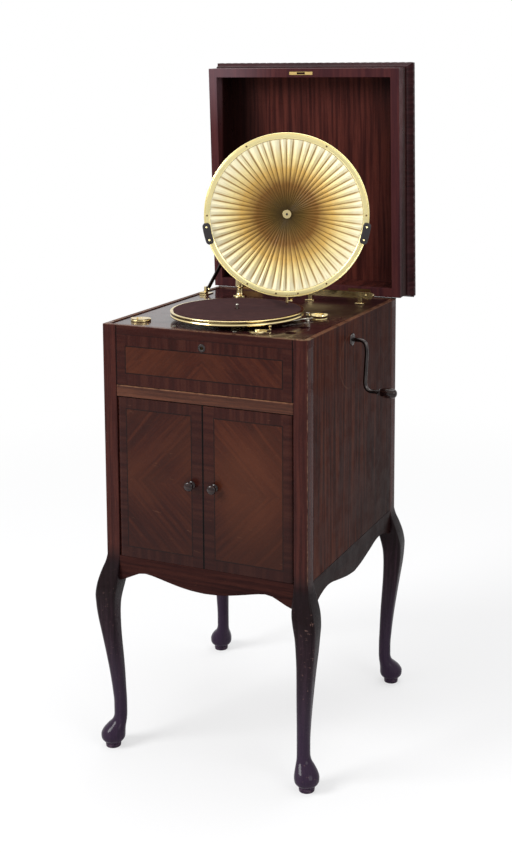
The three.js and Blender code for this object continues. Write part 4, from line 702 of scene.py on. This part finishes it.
def readTable(table, column, at):  # monotone curve through the rows of a table
    last = len(table) - 1
    if at <= table[0][0]:
        return table[0][column]
    if at >= table[last][0]:
        return table[last][column]

    def rise(i):
        return (table[i + 1][column] - table[i][column]) / (table[i + 1][0] - table[i][0])

    def slope(i):
        if i == 0 or i == last:
            return rise(0 if i == 0 else last - 1)
        before, after = rise(i - 1), rise(i)
        return 0 if before * after <= 0 else 2 * before * after / (before + after)

    i = 0
    while at > table[i + 1][0]:
        i += 1
    span = table[i + 1][0] - table[i][0]
    t = (at - table[i][0]) / span
    return (table[i][column] * (2 * t ** 3 - 3 * t ** 2 + 1) + slope(i) * span * (t ** 3 - 2 * t ** 2 + t)
            + table[i + 1][column] * (3 * t ** 2 - 2 * t ** 3) + slope(i + 1) * span * (t ** 3 - t ** 2))


print("legs")
legs = {
    "height": 463, "post": 33, "levels": 74, "cornerPoints": 9, "ledge": 12, "seat": case["boardLow"] - 0.4,
    # share of the height, swell beyond the case corner, reach inwards in posts, corner radius
    "form": [
        (0, 13, 0.645, 17), (0.013, 13.8, 0.665, 18), (0.02, 12.6, 0.635, 17), (0.031, 18.6, 0.82, 23),
        (0.047, 23.3, 0.96, 27.5),
        (0.065, 23.8, 0.976, 28), (0.086, 20, 0.97, 26), (0.108, 12.1, 0.967, 22), (0.134, 0.94, 0.97, 16),
        (0.162, -2.3, 0.979, 15), (0.216, -2.3, 0.979, 14.8), (0.302, -0.06, 0.941, 14),
        (0.389, 3.4, 0.897, 13), (0.475, 7.85, 0.838, 12.5), (0.551, 12.3, 0.779, 12.5),
        (0.626, 16.8, 0.733, 12), (0.691, 20.7, 0.721, 12), (0.745, 22.9, 0.745, 12), (0.795, 23.8, 0.83, 11),
        (0.842, 21.1, 0.94, 8.5), (0.876, 17.4, 1, 6.5), (0.929, 9.8, 1, 4), (0.968, 3.15, 1, 2.5),
        (1, 0, 1, 1.5),
    ],
}


def legRing(sx, sy, z, swell, reach, radius):
    half = (swell + reach) / 2
    x = sx * (halfWidth + (swell - reach) / 2)
    y = sy * (halfDepth + (swell - reach) / 2)
    r = min(radius, half - 0.3)
    steps = legs["cornerPoints"]
    ring = []
    for corner, (cx, cy) in enumerate([(1, 1), (-1, 1), (-1, -1), (1, -1)]):
        for i in range(steps):
            turn = (corner + i / (steps - 1)) * math.pi / 2
            across, along = polar(r, turn)
            ring.append((x + cx * (half - r) + across, y + cy * (half - r) + along, z))
    return ring


def makeLeg(name, sx, sy):
    post, seat = legs["post"], legs["seat"]
    rows = []
    for step in range(legs["levels"] + 1):
        share = step / legs["levels"]
        share = share * 0.45 + share ** 2 * 0.55  # levels lie closer together at the foot
        swell, reach, radius = (readTable(legs["form"], column, share) for column in (1, 2, 3))
        rows.append(legRing(sx, sy, share * legs["height"], swell - 0.15, reach * post, radius))
    rows.append(legRing(sx, sy, seat, 0, post, 1.5))
    lower = [p for row in rows for p in row], capped(len(rows), len(rows[0]))
    # above the motor board's seat the corner is an angle, as wide as its ledge
    outX, outY = sx * halfWidth, sy * halfDepth
    inX, inY = sx * (halfWidth - legs["ledge"]), sy * (halfDepth - legs["ledge"])
    farX, farY = sx * (halfWidth - post), sy * (halfDepth - post)
    corner = [(farX, outY), (outX - sx * 1.5, outY), (outX - sx * 0.45, outY - sy * 0.45),
              (outX, outY - sy * 1.5), (outX, farY), (inX, farY), (inX, inY), (farX, inY)]
    levels = [(seat, 0), (rim - 0.8, 0), (rim - 0.2, 0.35), (rim, 0.8)]
    cap = []
    for height, inward in levels:
        for x, y in corner:
            easeX = sx * inward if abs(x) > halfWidth - 5 else 0
            easeY = sy * inward if abs(y) > halfDepth - 5 else 0
            cap.append((x - easeX, y - easeY, height))
    shape = gather(lower, (cap, capped(len(levels), len(corner))))
    makePiece(name + "_carved", *shape, "dark", "cabinet", [name], sharp=28)


for legName, sx, sy in (("leg_front_left", -1, -1), ("leg_front_right", 1, -1),
                        ("leg_rear_left", -1, 1), ("leg_rear_right", 1, 1)):
    makeLeg(legName, sx, sy)

print("lid moulding")
moulding = {
    "side": halfWidth + 9, "front": halfDepth + 4, "back": halfDepth + 3, "reach": 12, "low": rim + 50,
    "high": rim + 98.8, "pitch": 19.0, "openDegrees": 87.5, "hinge": (284.3, rim + 0.2),
    "roll": (0.50, 0.84), "carve": 2.2,
    "form": [(0, 0), (0.2, 0.01), (0.24, 0.07), (0.3, 0.15), (0.42, 0.25), (0.62, 0.35), (0.84, 0.44),
             (0.95, 0.485), (1, 0.54), (1.0, 0.6), (1, 0.66), (0.99, 0.72), (0.95, 0.78), (0.88, 0.83),
             (0.78, 0.87), (0.62, 0.9), (0.6, 0.97), (0.54, 1), (0, 1)],
}


def openLid(p):
    hinge = Vector((0, *moulding["hinge"]))
    return Matrix.Rotation(-math.radians(moulding["openDegrees"]), 3, "X") @ (p - hinge) + hinge


def carvedMoulding():  # the profile goes round the lid, with lobes cut in its roll
    x, front, back = moulding["side"], moulding["front"], moulding["back"]
    corners = [(-x, -front), (x, -front), (x, back), (-x, back)]
    height = moulding["high"] - moulding["low"]
    low, high = moulding["roll"]
    rows = []
    for c in range(4):
        (startX, startY), (endX, endY) = corners[c], corners[(c + 1) % 4]
        length = math.hypot(endX - startX, endY - startY)
        midX, midY = (startX + endX) / 2, (startY + endY) / 2
        runX, runY = (endX - startX) / length, (endY - startY) / length
        repeats = round(length / moulding["pitch"])
        steps = repeats * 8
        for s in range(steps):
            t = s / steps
            lobe = abs(math.sin(math.pi * (t * repeats % 1)))
            for out, up in moulding["form"]:
                reach = 0.2 + out * (moulding["reach"] - 0.2)
                if low <= up <= high:
                    slant = math.sin(math.pi * (up - low) / (high - low))
                    reach -= moulding["carve"] * slant * (1 - lobe ** 0.55)
                # the mitres stand at 45 degrees, so a side is longer the further out it lies
                spread = 1 + 2 * reach / length
                px, py = startX + (endX - startX) * t, startY + (endY - startY) * t
                px = midX + (px - midX) * (spread if abs(runX) > 0.5 else 1) + runY * reach
                py = midY + (py - midY) * (spread if abs(runY) > 0.5 else 1) - runX * reach
                rows.append((px, py, moulding["low"] + up * height))
    count = len(moulding["form"])
    return rows, ringFaces(len(rows) // count, count, True)


makePiece("lid_moulding_carved", *carvedMoulding(), "cornice", "lid", ["lid_moulding"], sharp=50,
          move=openLid)

print("turntable")
platter = {"radius": 152.5, "low": 9, "high": 21, "sides": 144, "bore": 3.8}
plateR, plateLow, plateTop, bore = (platter[key] for key in ("radius", "low", "high", "bore"))
# inwards from the edge, and height over the case
platterRim = [
    (6, plateTop - 5.5), (4, plateLow), (0.8, plateLow), (0.2, plateLow + 0.8), (0, plateLow + 2),
    (0.2, plateLow + 3.2), (1.2, plateLow + 4.2), (1.4, plateLow + 5), (1.4, plateTop - 4),
    (1.1, plateTop - 3.2), (0.2, plateTop - 2.2), (0, plateTop - 1.4), (0.4, plateTop - 0.5),
    (1.2, plateTop), (5, plateTop), (5.8, plateTop - 0.4), (6, plateTop - 1),
]
platterForm = [(bore, plateLow + 1), (14, plateLow + 1), (14, plateTop - 5.5),
               *[(plateR - inward, height) for inward, height in platterRim], (bore, plateTop - 1)]
makePiece("turntable_plate", *turned(platterForm, platter["sides"], (0, spindleY, rim)), "platterBrass",
          "platter", ["turntable"], sharp=40)

baize = {"inner": 5.8, "outer": plateR - 7, "under": plateTop - 0.9, "over": plateTop + 0.95,
         "sides": 160, "rings": 16}


def baizeDisc():  # cut round with a hole for the spindle, its edge slightly worn
    rings, sides = baize["rings"], baize["sides"]
    points = []
    for isTop in (True, False):
        for ring in (range(rings + 1) if isTop else range(rings, -1, -1)):
            radius = baize["inner"] + (baize["outer"] - baize["inner"]) * (ring / rings)
            for k in range(sides):
                turn = 2 * math.pi * k / sides
                frayed = (0.12 * math.sin(turn * 23) + 0.1 * math.sin(turn * 41 + 1)) if ring == rings else 0
                lift = 0.03 * math.sin(radius * 0.21 + turn * 3) if isTop else 0
                if isTop and ring in (0, rings):
                    lift -= 0.35
                x, y = polar(radius + frayed - 0.2, turn)
                points.append((x, spindleY + y, rim + baize["over" if isTop else "under"] + lift))
    return points, ringFaces(2 * (rings + 1), sides, True)


cloth = makePiece("turntable_baize", *baizeDisc(), "baize", "platter", ["turntable_cloth"], sharp=50)

print("diaphragm")


def atRing(p):
    return Matrix.Rotation(ringYaw, 3, "Z") @ p + ringCentre


def slotted(at, size, turn):  # small screw head with its slot
    form = [(0.0, -0.8), (size, -0.8), (size, 0.2), (size * 0.93, 0.55), (size * 0.7, 0.95),
            (size * 0.35, 1.3), (0.0, 1.4)]
    points, faces = turned(form, 20)
    cut = []
    for x, y, z in points:
        off = x * math.cos(turn) + y * math.sin(turn)
        cut.append((x, y, z - 0.5 if z > 0.3 and abs(off) < size * 0.2 else z))
    return shifted(toFront((cut, faces)), lambda p: p + Vector(at))


# inwards from the ring's edge, and height over its middle
ringForm = rounded([(ringR - inward, height) for inward, height in [
    (ringW, -halfRing + 0.2), (0.3, -halfRing), (0, 0), (0.2, halfRing - 0.8), (1.2, halfRing),
    (2.2, halfRing - 0.1), (2.8, halfRing - 1.0), (3.4, halfRing - 0.1), (4.2, halfRing),
    (ringW - 2.6, halfRing), (ringW - 1.2, halfRing - 0.6), (ringW, halfRing - 1.4),
    (ringW, -halfRing + 0.2),
]], 0.5)[:-1]
screws = []
for degrees in (0, 60, 120, 180, 240, 300, 262, 278):
    x, z = polar(ringR - ringW / 2, math.radians(degrees))
    screws.append(slotted((x, -halfRing, z), 2.2, degrees))
makePiece("diaphragm_ring_turned", *toFront(turned(ringForm, 180)), "ringBrass",
          "reproducer", ["diaphragm_ring"], sharp=42, move=atRing)
makePiece("diaphragm_ring_screws", *gather(*screws), "bronze", "reproducer", move=atRing)
hubForm = [(0.0, 0), (2.75, 0), (2.75, 0.9), (2.2, 1.6), (1.5, 1.1), (0.0, 0.9)]
hubDepth = disc["cone"] * (1 - disc["boss"] / paperR) - 4.2
makePiece("boss_hollow", *toFront(turned(hubForm, 24)), "darkSteel", "reproducer",
          move=lambda p: atRing(p + Vector((0, hubDepth + 1.6, 0))))


def unevenness(step):  # no two folds are quite the same width
    return 0.011 * math.sin(step % disc["pleats"] * 1.9) + 0.008 * math.sin(step % disc["pleats"] * 4.1 + 2)


def pleatedPaper():  # crests and folds eased by a soft triangle wave, nipped at the outer edge
    columns = disc["pleats"] * 12
    shares = [1, 0.985, 0.96, 0.9, 0.8, 0.7, 0.6, 0.5, 0.4, 0.3, 0.2, 0.13, 0.08,
              disc["boss"] * 0.62 / paperR]
    points = []
    for side in (-1, 1):  # the front of the paper, then its back
        for share in shares:
            for k in range(columns):
                step, part = divmod(k, 12)
                turn = 2 * math.pi * k / columns
                turn += unevenness(step) * (1 - part / 12) + unevenness(step + 1) * part / 12
                wave = 1 - 4 * abs((k / 12 + 0.5) % 1 - 0.5)
                soft = math.sin(wave * math.pi / 2) * 0.35 + wave * 0.65
                wobble = 1 + 0.08 * math.sin(step * 2.3 + 1)
                nip = 1 - 0.35 * max(0, (share - 0.94) / 0.06)
                lift = soft * 0.5 * disc["depth"] * share * wobble * nip * 0.96
                x, z = polar(paperR * share, turn)
                points.append((x, disc["cone"] * (1 - share) + lift + disc["paper"] / 2 * side, z))
    rings = len(shares)
    base = rings * columns
    inner = base - columns
    faces = ringFaces(rings, columns)
    faces += [tuple(base + i for i in reversed(face)) for face in faces]
    for k in range(columns):
        n = (k + 1) % columns
        faces.append((n, k, base + k, base + n))
        faces.append((inner + k, inner + n, base + inner + n, base + inner + k))
    return points, faces


makePiece("pleated_paper_diaphragm", *pleatedPaper(), "pleats", "reproducer", ["pleated_diaphragm"],
          sharp=60, move=atRing)

padWidth, padLength, padDrop = disc["pad"]
padR = ringR - ringW + 1.2 + padWidth / 2
padCentre = -math.degrees(math.asin(padDrop / padR))
padHalf = math.degrees(padLength / padR / 2)
padBack = -halfRing - 0.2
padFront = padBack - 4.6


def padShape(centre):  # a bar that follows the ring, its ends narrowed
    outline = []
    for side, order in ((1, range(17)), (-1, range(16, -1, -1))):
        for i in order:
            fade = padWidth / 2 - 4.5 * (max(0, abs(i - 8) / 8 - 0.72) / 0.28) ** 2
            outline.append(polar(padR + side * fade, math.radians(centre - padHalf + 2 * padHalf * i / 16)))
    levels = [(padBack, 0), (padFront + 1.0, 0), (padFront + 0.3, 0.4), (padFront, 1.1)]
    points, faces = ledges(outline, levels)
    return [(x, depth, z) for x, z, depth in points], faces


for side, centre in (("right", padCentre), ("left", 180 - padCentre)):
    makePiece("ring_pad_" + side + "_shaped", *padShape(centre), "pad", "reproducer",
              ["ring_pad_" + side], sharp=40, move=atRing)
    heads = []
    for offset in (-padHalf * 0.62, padHalf * 0.62):
        x, z = polar(padR, math.radians(centre + offset))
        heads.append(slotted((x, padFront, z), 2.4, offset))
    makePiece("ring_pad_" + side + "_screws", *gather(*heads), "ringBrass", "reproducer", move=atRing)

print("fittings")
knob = {"radius": 11, "length": 21, "height": 654, "offset": 28, "pin": 3.5, "seat": 0.2}
# radius and length as shares of the knob's own
knobShares = [
    (0.79, 0.03), (0.78, 0.06), (0.7, 0.1), (0.62, 0.12), (0.5, 0.16), (0.42, 0.22), (0.39, 0.29),
    (0.41, 0.36), (0.46, 0.39), (0.62, 0.42), (0.66, 0.45), (0.64, 0.47), (0.78, 0.51), (0.92, 0.57),
    (0.99, 0.64), (1, 0.7), (0.98, 0.78), (0.92, 0.85), (0.8, 0.91), (0.6, 0.955), (0.45, 0.965),
    (0.4, 0.98), (0.22, 0.995),
]
knobForm = [(0.0, -10), (knob["pin"], -10), (knob["pin"], knob["seat"]),
            (knob["radius"] * 0.75, knob["seat"])]
knobForm += [(knob["radius"] * a, knob["length"] * b) for a, b in knobShares] + [(0.0, knob["length"])]
for side, sign in (("left", -1), ("right", 1)):
    place = Vector((sign * knob["offset"], -halfDepth, knob["height"]))
    makePiece("door_knob_" + side + "_turned", *toFront(turned(knobForm, 40)), "turned", side + "_door",
              ["door_knob_" + side], move=lambda p: p + place)

keyForm = rounded([(3.4, -4), (5.8, -4), (5.8, 0.2), (9, 0.2), (8.9, 0.7), (8.0, 1.4), (6.4, 1.1), (5.2, 1.4),
                   (4, 1.4), (3.4, 0.6), (3.4, -4)], 0.25)[:-1]
makePiece("keyhole_ring", *toFront(turned(keyForm, 40)), "darkSteel", "cabinet", ["keyhole_escutcheon"],
          move=lambda p: p + Vector((0, -halfDepth, rim - 36)))

bowl = {"radius": 22.5, "neck": 16.7, "seat": -1.8, "deep": -16, "top": 7,
        "open": (170.5, -28), "covered": (-191, -210.5)}
br, neck, seat, deep, bowlTop = (bowl[key] for key in ("radius", "neck", "seat", "deep", "top"))
openForm = [
    (0.0, deep), (neck * 0.7, deep), (neck, deep + 4), (neck, seat), (neck + 1.8, seat),
    (neck + 2.2, seat + 0.6), (neck + 1.4, seat + 1.8), (neck + 1.5, seat + 3), (neck + 2.6, seat + 5),
    (br - 1.2, bowlTop - 1.8), (br - 0.3, bowlTop - 0.9), (br, bowlTop - 0.3), (br - 0.4, bowlTop),
    (br - 1.4, bowlTop - 0.1), (br - 2.6, bowlTop - 1.6), (neck + 0.4, seat + 4.4),
    (neck - 1.2, seat + 1.6), (neck - 1.6, deep + 6), (neck - 2.6, deep + 3.4), (neck * 0.65, deep + 2),
    (neck * 0.3, deep + 1.7), (0.0, deep + 1.6),
]
makePiece("needle_bowl_open_spun", *turned(openForm, 64, (*bowl["open"], rim)), "brass", "cabinet",
          ["needle_bowl_open"])
coverHigh = seat + 5
coveredForm = rounded([
    (0.0, deep), (neck * 0.7, deep), (neck, deep + 4), (neck, seat), (br + 0.5, seat),
    (br + 0.5, coverHigh - 1.2), (br, coverHigh - 0.6), (br - 2.4, coverHigh - 0.6),
    (neck - 1.6, seat + 1), (neck - 1.6, deep + 5), (neck * 0.65, deep + 1.6), (0.0, deep + 1.6),
], 0.5)
halfCover = [polar(br, math.pi * i / 28) for i in range(29)]
makePiece("needle_bowl_covered_spun", *gather(
    turned(coveredForm, 64),
    slab(halfCover, coverHigh - 1.4, coverHigh, 0.35),
    turned([(0.0, coverHigh - 2), (2, coverHigh - 2), (2, coverHigh + 2), (1.4, coverHigh + 2.5),
            (0.0, coverHigh + 2.6)], 20),
), "brass", "cabinet", ["needle_bowl_covered"],
    move=lambda p: p + Vector((*bowl["covered"], rim)))

crank = {"drop": 45.4, "y": -22, "radius": 4.6, "throw": 116.5, "grip": (11.5, 42)}
cz, cy, ct = rim - crank["drop"], crank["y"], crank["throw"]
gripR, gripL = crank["grip"]
rodPath = smoothPath([(x, cy, cz + z) for x, z in (
    (-20, 0), (halfWidth + 31, 0), (halfWidth + 36, -22), (halfWidth + 31, -ct + 12), (halfWidth + 40, -ct),
    (halfWidth + 62, -ct), (halfWidth + 64.5, -ct), (halfWidth + 65 + gripL - 6, -ct))], 14, 8)
rodRadii = [3.5 if p.x > halfWidth + 63 else crank["radius"] for p in rodPath]
worm = [(0.0, -18.0)] + [(5.5 if i % 2 else 4.9, -18 + 26 * i / 24) for i in range(25)] + [(0.0, 8.0)]
wormShape = shifted(turned(worm, 24), lambda p: Vector((p.z, p.y + cy, cz - p.x)))
makePiece("crank_rod_bent", *gather(tube(rodPath, rodRadii, 20), wormShape), "darkSteel", "crank",
          ["crank_rod"])
gripForm = [
    (3.9, 0), (gripR * 0.6, 0), (gripR * 0.72, 0.8), (gripR * 0.74, 2), (gripR * 0.68, 3.4), (gripR * 0.7, 5),
    (gripR * 0.78, 7.5), (gripR * 0.88, 11), (gripR * 0.96, 15), (gripR, 20), (gripR * 1.0, 26),
    (gripR * 0.97, 31), (gripR * 0.88, 36), (gripR * 0.72, 39.5), (gripR * 0.5, 41.4), (gripR * 0.2, 42),
    (0.0, 42), (0.0, 39), (3.9, 39),
]
makePiece("crank_grip_turned", *turned(gripForm, 36), "turned", "grip", ["crank_grip"],
          move=lambda p: Vector((halfWidth + 65.5 + p.z, p.y + cy, cz - ct - p.x)))

brake = {"x": 150, "y": -61, "path": [(-28, -63), (-25, -45), (-8, -28), (-5, -10), (6, 0), (14, 12)]}
bx, by, boardTop = brake["x"], brake["y"], case["boardTop"]
brakePath = smoothPath([(bx + x, by + y, boardTop + 4.4) for x, y in brake["path"]], 8, 7)
brakePost = turned([
    (0.0, boardTop + 0.2), (5, boardTop + 0.2), (5.1, boardTop + 1.2), (4.6, boardTop + 2.1),
    (3.4, boardTop + 2.6), (3.3, boardTop + 5.6), (2.6, boardTop + 6.2), (0.0, boardTop + 6.4),
], 28, (bx + 6, by, 0))
padOutline = [(bx + 2.6, by + 0.4), (bx + 8.6, by + 0.4), (bx + 8.6, by + 7), (bx + 2.6, by + 7)]
makePiece("brake_lever_bent", *gather(
    tube(brakePath, 1.7, 14), brakePost, slab(padOutline, boardTop + 4, rim + platter["high"] - 5, 0.6),
), "steel", "brake", ["brake_lever"])

pillar = {"at": (-132, 178), "hub": (rim + 24.3, rim + 40)}
hubLow, hubHigh = pillar["hub"]
pillarForm = rounded([
    (0.0, boardTop + 0.2), (17, boardTop + 0.2), (17, boardTop + 2), (15, boardTop + 3.4),
    (12, boardTop + 3.6), (9, boardTop + 5), (8, boardTop + 8), (8, boardTop + 12), (8, hubLow - 4),
    (10, hubLow - 2), (10, hubLow - 0.3), (4, hubLow - 0.3), (4, hubHigh + 0.5), (7, hubHigh + 0.5),
    (7, hubHigh + 2.2), (4.5, hubHigh + 4), (0.0, hubHigh + 4.4),
], 0.7)
makePiece("arm_pillar_turned", *turned(pillarForm, 48, (*pillar["at"], 0)), "brass", "cabinet",
          ["arm_pillar"])

# the rod that the hinges turn on runs the length of the lid, between the leaves; its dark steel also fills
# the gap between lid and case as painted shade
hinge = {"radius": 1.24, "spans": [(-247, -180.6), (-118.2, 118.2), (180.6, 247)]}
rods = [tube([Vector((end, *moulding["hinge"])) for end in span], hinge["radius"], 12)
        for span in hinge["spans"]]
makePiece("hinge_rod_gap_shade", *gather(*rods), "darkSteel", "cabinet")

print("floor")
floorMesh = bpy.data.meshes.new("floor")
floorHalf = 14
floorMesh.from_pydata([(x * floorHalf, y * floorHalf, 0) for x, y in ((-1, -1), (1, -1), (1, 1), (-1, 1))],
                      [], [(0, 1, 2, 3)])
floor = linked("floor", floorMesh)
floorFinish = Finish("pale_floor", None)
speckle = floorFinish.noise(floorFinish.place * 0.2, 3.0).ramp((0.3, "f8f8f9"), (0.7, "fbfbfc"))
matt = floorFinish.node("BsdfDiffuse", None, {"Color": speckle})
bright = floorFinish.node("Emission", None, {"Color": "ffffff", "Strength": 1.0})
seen = floorFinish.node("LightPath", out="Is Camera Ray")
amount = seen * distance(floorFinish.x, floorFinish.y).ease(900, 3000, 0.6, 1.0)
floorFinish.close(floorFinish.node("MixShader", None, {0: amount, 1: matt, 2: bright}))
floorMesh.materials.append(floorFinish.material)

# the world is white to the camera and in reflections, and a softer white as light
world = bpy.data.worlds.new("studio")
bpy.context.scene.world = world
studio = Shading(world)
direct, mirrored, through = (studio.node("LightPath", out="Is " + ray + " Ray")
                             for ray in ("Camera", "Glossy", "Transmission"))
soft = studio.node("Background", None, {"Color": (0.98, 0.99, 1.0, 1), "Strength": 0.42})
white = studio.node("Background", None, {"Color": "ffffff", "Strength": 1.0})
whiteTo = direct.most(mirrored).most(through)
blended = studio.node("MixShader", None, {0: whiteTo, 1: soft, 2: white})
studio.node("OutputWorld", None, {"Surface": blended})

print("done")
